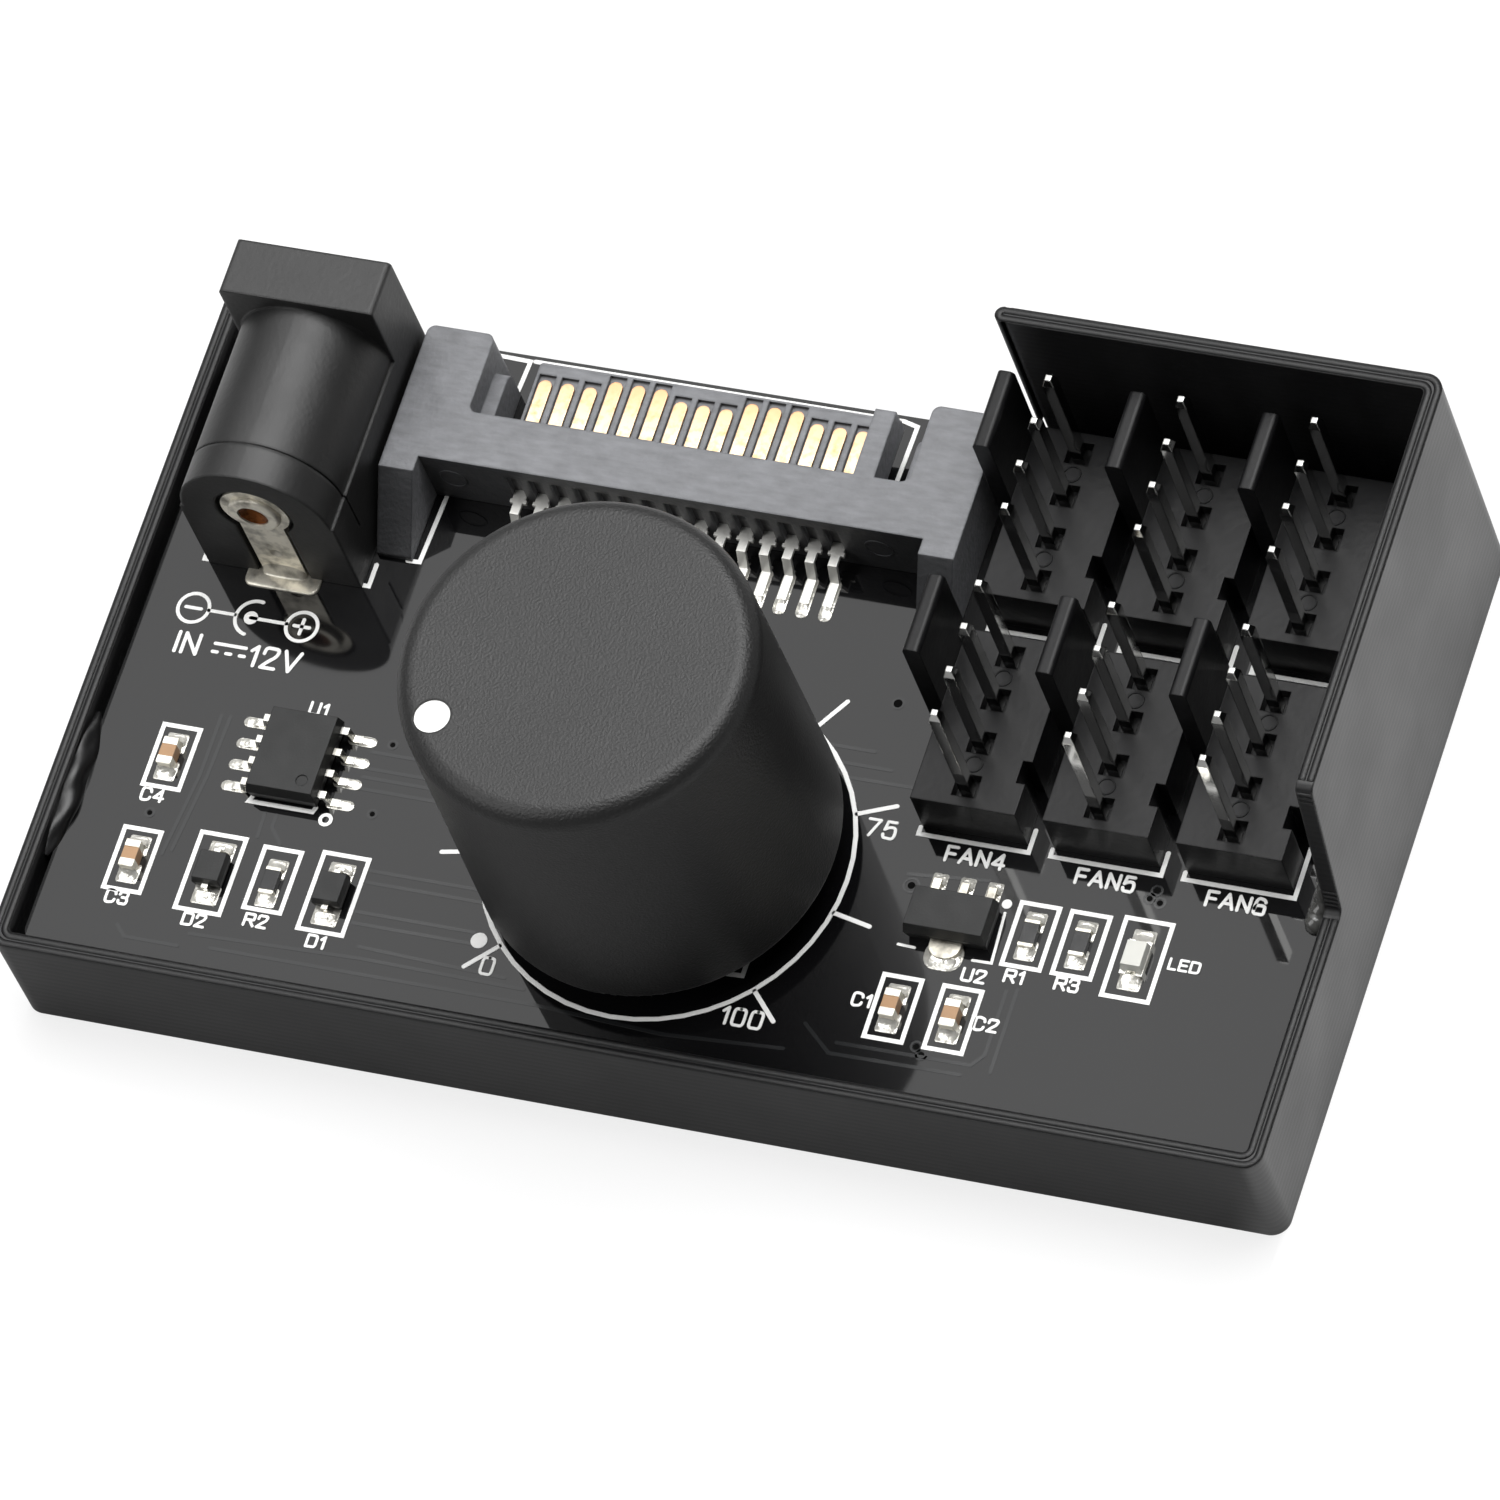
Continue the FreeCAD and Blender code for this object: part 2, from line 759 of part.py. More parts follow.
def make_plug_housing(contacts):
    """Bar and arms in one outline, sloping legs, guide ribs, tongue with grooves, key and pegs."""
    half = plug_width / 2
    inner = half - plug_arm_width
    back = plug_bar_depth + plug_arm_length
    corner = plug_arm_corner
    plan = [(-half, 0), (half, 0), (half, back, corner), (inner, back, corner)]
    plan += [(inner, plug_bar_depth, corner), (-inner, plug_bar_depth, corner)]
    plan += [(-inner, back, corner), (-half, back, corner)]
    pieces = [prism_z(plan, 0, plug_height)]
    leg = [(root, 0), (root, plug_height), (-plug_leg_top, plug_height), (-plug_leg_foot, plug_leg_toe)]
    leg.append((-plug_leg_foot, 0))
    rib_start = plug_bar_depth - root
    rib_end = plug_bar_depth + guide_rib_length
    rib = [(rib_start, 0), (rib_end, 0), (rib_end, guide_rib_height, guide_rib_radius)]
    rib.append((rib_start, guide_rib_height))
    peg_x = half - plug_arm_width / 2
    right_pieces = [
        prism_x(leg, half - plug_leg_width, half),
        prism_x(rib, inner - guide_rib_width, inner + root),
        cylinder_z(plug_peg_radius, root - board_thickness, root, peg_x, plug_bar_depth / 2),
    ]
    for piece in right_pieces:
        pieces += [piece, mirrored_x(piece)]
    low = tongue_top - tongue_thickness
    tip = plug_bar_depth + tongue_length
    chamfer = tongue_chamfer
    tongue = [
        (rib_start, low),
        (tip - chamfer, low),
        (tip, low + chamfer),
        (tip, tongue_top - chamfer),
        (tip - chamfer, tongue_top),
        (rib_start, tongue_top),
    ]
    pieces.append(prism_x(tongue, tongue_left, key_right))
    pieces.append(box(key_left, key_right, rib_start, tip - key_setback, low, plug_height))
    housing = fused(pieces)
    cuts = []
    groove_floor = tongue_top - contact_inset - contact_thickness
    for index in range(contact_count):
        x = first_contact_x + index * contact_pitch
        end = plug_bar_depth + contact_reach(index) + groove_overrun
        groove_half = groove_width / 2
        cuts.append(box(x - groove_half, x + groove_half, plug_bar_depth, end, groove_floor, plug_height))
        slot_bottom = lead_exit_height - contact_thickness / 2
        slot_half = contact_width / 2
        cuts.append(box(x - slot_half, x + slot_half, -cut_past, lead_slot_depth, slot_bottom, tongue_top))
    return housing.cut(cuts).cut(contacts)


def make_header():
    """Header base with pin pockets and a side notch, and its lock wall on the left."""
    base = box(0, header_width, 0, header_length, 0, header_height)
    lock_front = header_length - lock_length
    lock = box(-lock_thickness, 0, lock_front, header_length, 0, lock_height)
    top_edges = [edge for edge in lock.Edges if edge.BoundBox.ZMin > lock_height - same_place]
    long_edges = [edge for edge in top_edges if edge.BoundBox.XLength < same_place]
    lock = lock.makeFillet(min(lock_edge_radius, most_round * lock_thickness), long_edges)
    header = fused([base, lock])
    high = header_height + cut_past
    cuts = []
    for x, y in pin_places():
        half = pin_size / 2
        cuts.append(box(x - half, x + half, y - half, y + half, -cut_past, high))
        half = pin_pocket_size / 2
        cuts.append(box(x - half, x + half, y - half, y + half, header_height - pin_pocket_depth, high))
    notch_middle = header_end_margin + pin_pitch / 2
    notch_front = notch_middle - header_notch_length / 2
    notch_back = notch_middle + header_notch_length / 2
    right = header_width - header_notch_depth
    cuts.append(box(right, header_width + cut_past, notch_front, notch_back, -cut_past, high))
    return header.cut(cuts)


def make_header_pin():
    """Square pin with a tapered tip."""
    half = pin_size / 2
    neck = pin_height - pin_tip
    shank = box(-half, half, -half, half, tail_end, neck)

    def square(size, z):
        corners = [Vector(sx * size, sy * size, z) for sx, sy in ((-1, -1), (1, -1), (1, 1), (-1, 1))]
        return Part.makePolygon(corners + corners[:1])

    tip = Part.makeLoft([square(half, neck), square(half - pin_tip_taper, pin_height)], True, True)
    return fused([shank, tip])


def pointer_place():
    """Middle of the pointer dot, from the knob's axis."""
    angle = math.radians(pointer_angle)
    return pointer_from_axis * math.cos(angle), pointer_from_axis * math.sin(angle)


def flatted_shaft(radius, flat_x, z0, z1):
    """Round shaft with one flat across X."""
    shaft = cylinder_z(radius, z0, z1)
    return shaft.cut(box(flat_x, radius + cut_past, -radius, radius, z0, z1))


def make_knob():
    """Hollow tapered knob with a hub, a flatted bore and a recess for the pointer dot."""
    shell = [
        (0, knob_base_height),
        (knob_base_radius, knob_base_height, knob_foot_radius),
        (knob_top_radius, knob_top_height, knob_edge_radius),
        (0, knob_top_height),
    ]
    hollow = [
        (0, knob_base_height - cut_past),
        (knob_base_radius - knob_wall, knob_base_height - cut_past),
        (knob_top_radius - knob_wall, cavity_top, knob_cavity_radius),
        (knob_hub_radius, cavity_top, knob_cavity_radius),
        (knob_hub_radius, hub_bottom),
        (0, hub_bottom),
    ]
    flat = shaft_radius - shaft_flat_depth + bore_clearance
    bore_top = shaft_top + shaft_end_clearance
    bore = flatted_shaft(shaft_radius + bore_clearance, flat, hub_bottom - cut_past, bore_top)
    x, y = pointer_place()
    recess_floor = knob_top_height - pointer_depth
    recess = cylinder_z(pointer_radius, recess_floor, knob_top_height + cut_past, x, y)
    return turned(shell).cut([turned(hollow), bore, recess])


def make_pointer():
    """White dot set into the knob's top."""
    x, y = pointer_place()
    recess_floor = knob_top_height - pointer_depth
    return cylinder_z(pointer_radius, recess_floor, knob_top_height - pointer_recess, x, y)


def make_pot_shaft():
    """Shaft with its rotor disc, its pivot and a flat for the knob."""
    profile = [
        (0, pot_floor + running_clearance),
        (pivot_radius, pot_floor + running_clearance),
        (pivot_radius, rotor_bottom),
        (rotor_radius, rotor_bottom),
        (rotor_radius, rotor_top),
        (shaft_radius, rotor_top),
        (shaft_radius, shaft_top, shaft_end_radius),
        (0, shaft_top),
    ]
    flat_x = shaft_radius - shaft_flat_depth
    flat_bottom = hub_bottom - flat_below_hub
    right = shaft_radius + cut_past
    flat = box(flat_x, right, -shaft_radius, shaft_radius, flat_bottom, shaft_top + cut_past)
    return turned(profile).cut(flat)


def make_pot_wiper():
    """Spring ring under the rotor with one finger that runs on the track."""
    low = rotor_bottom - wiper_thickness
    ring = cylinder_z(wiper_ring_radius, low, rotor_bottom)
    ring = ring.cut(cylinder_z(pivot_radius + wiper_pivot_gap, low, rotor_bottom))
    tip_z = pot_floor + track_thickness + wiper_lift + wiper_thickness / 2
    level = rotor_bottom - wiper_thickness / 2
    tip = track_radius - wiper_from_rim
    run = [(pivot_radius + wiper_root, level), (wiper_ring_radius, level), (tip, tip_z)]
    run.append((tip + wiper_tail, tip_z + wiper_tail_rise))
    finger = prism_x(bent_strip(run, wiper_thickness), -wiper_finger_width / 2, wiper_finger_width / 2)
    wiper = fused([ring, finger])
    wiper.rotate(Vector(0, 0, 0), Vector(0, 0, 1), pointer_angle - 90)
    return wiper


def make_pot_track():
    """Horseshoe track on the floor of the base."""
    top = pot_floor + track_thickness
    ring = cylinder_z(track_radius, pot_floor, top).cut(cylinder_z(track_inner_radius, pot_floor, top))
    reach = track_radius * 2
    spread = reach * math.tan(math.radians(track_gap_angle / 2))
    gap = prism_z([(0, 0), (-spread, -reach), (spread, -reach)], pot_floor, top)
    return ring.cut(gap)


def make_pot_terminals():
    """Three terminals out of the apron and down through the board."""
    front = -pot_width / 2 - pot_apron_depth
    level = pot_apron_height / 2
    path = [(front + pot_terminal_root, level), (-pot_terminal_reach, level)]
    path.append((-pot_terminal_reach, tail_end))
    half = pot_terminal_width / 2
    terminal = prism_x(bent_strip(path, pot_terminal_thickness), -half, half)
    return [moved(terminal, index * pot_terminal_pitch, 0, 0) for index in (-1, 0, 1)]


def make_pot_base(terminals):
    """Moulded base: square cup with a low apron for the terminals."""
    half = pot_width / 2
    cup = rounded_plate(half, half, pot_corner_radius, 0, pot_body_top)
    cup = cup.cut(cylinder_z(pot_cavity_radius, pot_floor, pot_body_top))
    apron_half = half - pot_apron_inset
    apron = box(-apron_half, apron_half, -half - pot_apron_depth, -half + root, 0, pot_apron_height)
    return fused([cup, apron]).cut(terminals)


def make_pot_cover():
    """Sheet-metal cover with a drawn collar and two legs through the board."""
    half = pot_width / 2
    plate = rounded_plate(half, half, pot_corner_radius, pot_body_top, pot_height)
    bore = shaft_radius + running_clearance
    collar = cylinder_z(bore + pot_collar_wall, pot_body_top, collar_top)
    leg_half = pot_leg_width / 2
    bridge = box(half - root, half + pot_cover_thickness, -leg_half, leg_half, pot_body_top, pot_height)
    leg = box(half, half + pot_cover_thickness, -leg_half, leg_half, tail_end, pot_height)
    pieces = [plate, collar, bridge, leg, mirrored_x(bridge), mirrored_x(leg)]
    return fused(pieces).cut(cylinder_z(bore, pot_body_top, collar_top))


def gull_lead(start, toe, level, width):
    """Gull-wing lead in the XZ plane from a package side out to its toe."""
    foot_z = sheet_lead_thickness / 2
    bend = start + (toe - start) * lead_bend_share
    heel = bend + (toe - start) * lead_slope_share
    path = [(start, level), (bend, level), (heel, foot_z), (toe, foot_z)]
    return prism_y(bent_strip(path, sheet_lead_thickness), -width / 2, width / 2)


def make_chip():
    """Eight-lead package with its first-pin dimple, leads to the left and right."""
    body = drafted_block(chip_width, chip_length, package_standoff, chip_height, package_draft)
    mark_x = chip_width / 2 - chip_mark_inset
    mark_y = chip_mark_inset - chip_length / 2
    mark_floor = chip_height - chip_mark_depth
    return body.cut(cylinder_z(chip_mark_radius, mark_floor, chip_height, mark_x, mark_y))


def make_chip_leads():
    """Leads of the eight-lead package."""
    level = (package_standoff + chip_height) / 2
    lead = gull_lead(chip_width / 2, chip_lead_span / 2, level, chip_lead_width)
    leads = []
    for index in range(chip_leads_per_side):
        y = (index - (chip_leads_per_side - 1) / 2) * chip_lead_pitch
        leads += [moved(lead, 0, y, 0), moved(mirrored_x(lead), 0, y, 0)]
    return leads


def make_regulator(leads):
    """Regulator package over its lead frame."""
    return drafted_block(regulator_length, regulator_width, 0, regulator_height, package_draft).cut(leads)


def make_regulator_leads():
    """Three leads at the back, the middle one carried through to a wide tab at the front."""
    back = regulator_width / 2
    lead_start = back - regulator_lead_root
    lead_end = back + regulator_lead_reach
    half = regulator_lead_width / 2
    leads = []
    for index in (-1, 0, 1):
        x = index * regulator_lead_pitch
        leads.append(box(x - half, x + half, lead_start, lead_end, 0, regulator_lead_thickness))
    tab_half = regulator_tab_width / 2
    front = -back - regulator_tab_reach
    radius = min(regulator_tab_radius, most_round * regulator_tab_width)
    tab = [(-tab_half, lead_start), (-tab_half, front, radius)]
    tab += [(tab_half, front, radius), (tab_half, lead_start)]
    leads[1] = fused([leads[1], prism_z(tab, 0, regulator_lead_thickness)])
    return leads


def make_diode():
    """Two-lead package."""
    return drafted_block(diode_width, diode_length, package_standoff, diode_height, diode_draft)


def make_diode_leads():
    """Flat leads at both ends of a diode."""
    foot = sheet_lead_thickness / 2
    level = (package_standoff + diode_height) / 2
    end = diode_length / 2
    knee = end + diode_lead_run
    path = [(end, level), (knee, level), (knee + diode_lead_slope, foot), (diode_span / 2, foot)]
    half = diode_lead_width / 2
    lead = prism_x(bent_strip(path, sheet_lead_thickness), -half, half)
    return [lead, lead.mirror(Vector(0, 0, 0), Vector(0, 1, 0))]


def make_chip_part(height, cap_length):
    """Body and two end caps of a chip part that lies along Y."""
    half_x = chip_part_width / 2
    half_y = chip_part_length / 2
    inner = half_y - cap_length
    body = box(-half_x, half_x, -inner, inner, body_inset, height - body_inset)
    cap = box(-half_x, half_x, inner, half_y, 0, height)
    outer_edges = [edge for edge in cap.Edges if edge.BoundBox.YMin > half_y - same_place]
    cap = cap.makeFillet(min(end_cap_radius, most_round * cap_length), outer_edges)
    return body, [cap, cap.mirror(Vector(0, 0, 0), Vector(0, 1, 0))]


def make_led():
    """Base, lens and end terminals of the light-emitting diode, along Y."""
    half_x = led_width / 2
    half_y = led_length / 2
    inner = half_y - led_terminal_length
    base = box(-half_x, half_x, -inner, inner, 0, led_base_height)
    lens_width = led_width - led_lens_inset
    lens = drafted_block(lens_width, led_lens_length, -led_lens_height, led_lens_height, led_lens_draft)
    lens = lens.common(box(-half_x, half_x, -half_y, half_y, 0, led_lens_height))
    lens = moved(lens, 0, 0, led_base_height)
    terminal = box(-half_x, half_x, inner, half_y, 0, led_base_height)
    terminal = terminal.cut(cylinder_z(led_terminal_notch, 0, led_base_height, 0, half_y))
    return base, lens, [terminal, terminal.mirror(Vector(0, 0, 0), Vector(0, 1, 0))]


def make_bead(length):
    """Glue bead in the corner of board and wall: a spindle cut to the corner, the wall at X = 0."""
    half = length / 2
    arc = Part.Arc(Vector(0, -half, 0), Vector(bead_radius, 0, 0), Vector(0, half, 0)).toShape()
    chord = Part.LineSegment(Vector(0, half, 0), Vector(0, -half, 0)).toShape()
    spindle = Part.Face(Part.Wire([arc, chord])).revolve(Vector(0, 0, 0), Vector(0, 1, 0), 360)
    return spindle.common(box(0, bead_radius * 2, -length, length, 0, bead_radius * 2))


def save(node, shape):
    """Write one node; a list is a group of separate solids."""
    if isinstance(shape, list):
        shape = Part.makeCompound(shape)
    shape.exportStep("parts/%s.step" % node)


def on_board(shape, x, y):
    """Copy of a shape or group, standing on the board at a place."""
    if isinstance(shape, list):
        return [moved(piece, x, y, board_top) for piece in shape]
    return moved(shape, x, y, board_top)


def save_jack():
    """Barrel jack."""
    save("dc_jack_housing", on_board(make_jack_housing(), jack_x, jack_y))
    save("dc_jack_center_pin", on_board(make_jack_pin(), jack_x, jack_y))
    save("dc_jack_pin_terminal", on_board(make_jack_strip(), jack_x, jack_y))
    save("dc_jack_sleeve_spring", on_board(make_jack_spring(), jack_x, jack_y))
    save("dc_jack_switch_terminal", on_board(make_jack_switch(), jack_x, jack_y))


def save_plug():
    """Serial-drive power plug."""
    contacts = make_contacts()
    save("sata_plug_housing", on_board(make_plug_housing(contacts), plug_x, plug_y))
    save("sata_plug_contacts", on_board(contacts, plug_x, plug_y))


def save_headers():
    """Fan headers and their pins."""
    header = make_header()
    pin = make_header_pin()
    for number, (x, y) in enumerate(header_places(), start=1):
        pins = [moved(pin, dx, dy, 0) for dx, dy in pin_places()]
        save("fan_header_%d" % number, on_board(header, x, y))
        save("fan_header_pins_%d" % number, on_board(pins, x, y))


def save_knob():
    """Knob and potentiometer."""
    terminals = make_pot_terminals()
    pieces = {
        "knob": make_knob(),
        "knob_pointer_dot": make_pointer(),
        "pot_shaft": make_pot_shaft(),
        "pot_wiper": make_pot_wiper(),
        "pot_track": make_pot_track(),
        "pot_base": make_pot_base(terminals),
        "pot_cover": make_pot_cover(),
        "pot_terminals": terminals,
    }
    for node, shape in pieces.items():
        save(node, on_board(shape, knob_x, knob_y))


def save_chip_parts(kind, height, cap_length, places):
    """Bodies and end caps of one kind of chip part."""
    body, caps = make_chip_part(height, cap_length)
    save("%s_bodies" % kind, [moved(body, x, y, board_top) for x, y in places])
    save("%s_end_caps" % kind, [moved(cap, x, y, board_top) for x, y in places for cap in caps])


def save_small_parts():
    """Chips, diodes, capacitors, resistors and the light."""
    save("control_chip", on_board(make_chip(), *from_left(chip_place)))
    save("control_chip_leads", on_board(make_chip_leads(), *from_left(chip_place)))
    regulator_leads = make_regulator_leads()
    save("voltage_regulator", on_board(make_regulator(regulator_leads), *from_right(regulator_place)))
    save("voltage_regulator_leads", on_board(regulator_leads, *from_right(regulator_place)))
    diodes = [from_left(place) for place in left_diodes]
    save("diode_bodies", [on_board(make_diode(), x, y) for x, y in diodes])
    save("diode_leads", [on_board(lead, x, y) for x, y in diodes for lead in make_diode_leads()])
    capacitors = [from_left(place) for place in left_capacitors]
    capacitors += [from_right(place) for place in right_capacitors]
    resistors = [from_left(left_resistor)] + [from_right(place) for place in right_resistors]
    save_chip_parts("capacitor", capacitor_height, capacitor_cap_length, capacitors)
    save_chip_parts("resistor", resistor_height, resistor_cap_length, resistors)
    base, lens, terminals = make_led()
    save("led_base", on_board(base, *from_right(led_place)))
    save("led_lens", on_board(lens, *from_right(led_place)))
    save("led_terminals", on_board(terminals, *from_right(led_place)))


def save_beads():
    """Glue beads at the left wall and, beside the bay's slope, at the right wall."""
    left_y = board_front + front_row + left_bead_length / 2
    left = moved(make_bead(left_bead_length), -inner_x, left_y, board_top)
    right = moved(mirrored_x(make_bead(right_bead_length)), inner_x, header_y, board_top)
    save("glue_bead_left", left)
    save("glue_bead_right", right)


os.makedirs("parts", exist_ok=True)
save("case", make_case())
save("circuit_board", make_board())
save_jack()
save_plug()
save_headers()
save_knob()
save_small_parts()
save_beads()
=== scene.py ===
"""Fan speed controller: finishes, ink, solder, glue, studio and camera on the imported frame.

Every piece made here is measured in millimetres from the dial: the point where the knob's axis meets the
board's top, with X to the right, Y to the back and Z up. The dial's place comes from the frame.
"""

from __future__ import annotations

import logging
import math
from dataclasses import dataclass, field
from enum import Enum
from typing import Any, Optional, Sequence

import bpy
import numpy as np
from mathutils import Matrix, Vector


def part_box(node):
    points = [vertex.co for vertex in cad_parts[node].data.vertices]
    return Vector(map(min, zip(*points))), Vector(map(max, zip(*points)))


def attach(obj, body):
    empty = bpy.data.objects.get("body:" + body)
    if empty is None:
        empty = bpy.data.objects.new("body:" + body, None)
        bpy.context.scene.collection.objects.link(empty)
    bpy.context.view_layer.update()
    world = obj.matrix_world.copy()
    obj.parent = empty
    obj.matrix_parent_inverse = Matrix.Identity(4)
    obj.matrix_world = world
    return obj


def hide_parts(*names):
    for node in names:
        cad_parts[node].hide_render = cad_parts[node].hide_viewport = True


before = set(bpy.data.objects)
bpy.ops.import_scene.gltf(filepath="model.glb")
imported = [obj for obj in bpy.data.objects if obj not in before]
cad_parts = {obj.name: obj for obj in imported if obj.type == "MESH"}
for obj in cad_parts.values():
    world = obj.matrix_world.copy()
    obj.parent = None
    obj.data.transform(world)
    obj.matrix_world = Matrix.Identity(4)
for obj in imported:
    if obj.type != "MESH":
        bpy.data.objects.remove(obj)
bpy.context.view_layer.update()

MM = 0.001
# Height of one ink line over the one before it, and depth of a bead's foot below its path, millimetres
HAIR = 0.0015
BEAD_SUNK = 0.01
# Angles at which a line's round end is drawn, and the least cosine that its mitres are divided by
END_ANGLES = (78.0, 50.0, 25.0)
MITRE_LIMIT = 0.55
# Letter grid: height of a capital, gap between letters, and the points from which a stroke is a curve
GRID_HEIGHT = 6.0
GRID_GAP = 1.75
CURVE_POINTS = 5
# Rays that look for the rounding of an edge
EDGE_SAMPLES = 4
log = logging.getLogger("fan_controller")


class Body(Enum):
    """Rigid bodies of the frame that pieces ride on."""

    BASE = "base"
    KNOB = "knob_set"


def srgb(code: str) -> tuple[float, float, float, float]:
    """Turns an sRGB hex colour into linear light.

    Args:
        code: Colour as "#rrggbb".

    Returns:
        Linear red, green, blue and an alpha of 1.
    """
    values = [int(code[start:start + 2], 16) / 255 for start in (1, 3, 5)]
    linear = [v / 12.92 if v <= 0.04045 else ((v + 0.055) / 1.055) ** 2.4 for v in values]
    return linear[0], linear[1], linear[2], 1.0


@dataclass
class Datum:
    """The dial's place in the part, read from the frame.

    Attributes:
        origin: Where the knob's axis meets the board's top, metres.
    """

    origin: np.ndarray = field(init=False)

    def __post_init__(self) -> None:
        """Reads the knob's and the board's boxes."""
        low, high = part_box("knob")
        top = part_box("circuit_board")[1][2]
        self.origin = np.array([(low[0] + high[0]) / 2, (low[1] + high[1]) / 2, top])

    def metres(self, points: np.ndarray) -> np.ndarray:
        """Places millimetre points of the dial's frame in the part's frame."""
        return points * MM + self.origin

    def millimetres(self, points: Any) -> np.ndarray:
        """Gives points of the part's frame in millimetres of the dial's frame."""
        return (np.array(points) - self.origin) / MM

    def node_box(self, node: str) -> tuple[np.ndarray, np.ndarray]:
        """Gives a CAD node's low and high corner in millimetres of the dial's frame."""
        low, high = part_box(node)
        return self.millimetres(low), self.millimetres(high)

    def middle(self, node: str) -> np.ndarray:
        """Gives the middle of a CAD node's box in millimetres of the dial's frame."""
        low, high = self.node_box(node)
        return (low + high) / 2


DATUM = Datum()


@dataclass
class Surface:
    """A closed mesh in millimetres of the dial's frame.

    Attributes:
        points: Vertices, one row each.
        faces: Vertex indices of each face, anticlockwise from outside.
    """

    points: np.ndarray
    faces: list[list[int]]

    @staticmethod
    def joined(parts: Sequence["Surface"]) -> "Surface":
        """Collects several surfaces in one.

        Args:
            parts: The surfaces, in order.

        Returns:
            One surface of all their faces.
        """
        starts = np.cumsum([0] + [len(part.points) for part in parts[:-1]])
        faces = [
            [index + int(start) for index in face]
            for part, start in zip(parts, starts) for face in part.faces
        ]
        return Surface(np.concatenate([part.points for part in parts]), faces)

    def upright(self) -> "Surface":
        """Stands the surface up, so that its top faces the front."""
        x, y, z = self.points.T
        return Surface(np.stack([x, -z, y], axis=1), self.faces)

    def moved(self, x: float, y: float, z: float = 0.0, turn: float = 0.0) -> "Surface":
        """Turns the surface about Z, then shifts it.

        Args:
            x: Shift to the right.
            y: Shift to the back.
            z: Shift up.
            turn: Angle in degrees, anticlockwise from above.

        Returns:
            The moved copy.
        """
        cosine, sine = math.cos(math.radians(turn)), math.sin(math.radians(turn))
        spin = np.array([[cosine, -sine, 0], [sine, cosine, 0], [0, 0, 1]])
        return Surface(self.points @ spin.T + np.array([x, y, z]), self.faces)


def stack(rings: np.ndarray, loop: bool = False) -> Surface:
    """Skins a pile of rings: ring i is joined to ring i + 1 by quads, and the end rings are closed.

    Args:
        rings: Array of rings by points by three; a ring runs anticlockwise about the way the pile grows.
        loop: Joins the last ring to the first instead of closing the ends.

    Returns:
        The closed surface.
    """
    count, size = rings.shape[:2]
    rows = np.arange(count if loop else count - 1)[:, None]
    columns = np.arange(size)[None, :]
    after = (columns + 1) % size
    above = (rows + 1) % count
    quads = np.stack(
        [rows * size + columns, rows * size + after, above * size + after, above * size + columns], axis=-1
    )
    faces = quads.reshape(-1, 4).tolist()
    if not loop:
        faces.append(list(range(size))[::-1])
        faces.append(list(range((count - 1) * size, count * size)))
    return Surface(rings.reshape(-1, 3), faces)


def circle(radius: float, steps: int = 32) -> np.ndarray:
    """Outline of a circle: radius times (cos t, sin t)."""
    angle = np.linspace(0, 2 * math.pi, steps, endpoint=False)
    return radius * np.stack([np.cos(angle), np.sin(angle)], axis=1)


def rounded_rectangle(half_x: float, half_y: float, radius: float, steps: int = 5) -> np.ndarray:
    """Outline of a rectangle whose corners are quarter circles.

    Args:
        half_x: Half the size in X.
        half_y: Half the size in Y.
        radius: Corner radius.
        steps: Points of each corner.

    Returns:
        Outline points, anticlockwise.
    """
    angle = (np.arange(4)[:, None] + np.linspace(0, 1, steps)[None, :]) * math.pi / 2
    signs = np.array([[1, 1], [-1, 1], [-1, -1], [1, -1]])
    middles = signs * np.array([half_x - radius, half_y - radius])
    arcs = radius * np.stack([np.cos(angle), np.sin(angle)], axis=-1)
    return (middles[:, None, :] + arcs).reshape(-1, 2)


def unit(rows: np.ndarray) -> np.ndarray:
    """Gives each row of an array the length 1."""
    return rows / np.maximum(np.linalg.norm(rows, axis=-1, keepdims=True), 1e-9)


def square_to(path: np.ndarray, hint: Sequence[float]) -> tuple[np.ndarray, np.ndarray]:
    """Gives two ways that are square to a path in space, at each of its points.

    Args:
        path: Points of the path.
        hint: The way that the second one leans to.

    Returns:
        The way to the side, which is the hint times the path, and the way square to it and to the path.
    """
    ahead = unit(np.gradient(path, axis=0))
    side = unit(np.cross(np.array(hint, dtype=float), ahead))
    return side, np.cross(ahead, side)


def loft(outline: np.ndarray, levels: Sequence[tuple[float, float]]) -> Surface:
    """Piles up scaled copies of an outline, one ring for each level.

    Args:
        outline: Outline points, anticlockwise.
        levels: Scale and height of each ring, from the foot to the top; no scale is zero.

    Returns:
        The closed surface.
    """
    scales, heights = np.array(levels, dtype=float).T[:, :, None, None]
    flat = outline[None] * scales
    return stack(np.concatenate([flat, np.broadcast_to(heights, (*flat.shape[:2], 1))], axis=2))


def slab(outline: np.ndarray, height: float, edge: float = 0.0) -> Surface:
    """Flat piece of an outline that stands on Z = 0, with its top edge eased by a ring pulled in.

    Args:
        outline: Outline points, anticlockwise.
        height: Thickness.
        edge: How far the top edge is eased.

    Returns:
        The closed surface.
    """
    pull = 1 - edge / np.abs(outline).max()
    top = [(1.0, height - edge), (pull, height)] if edge else [(1.0, height)]
    return loft(outline, [(1.0, 0.0), *top])


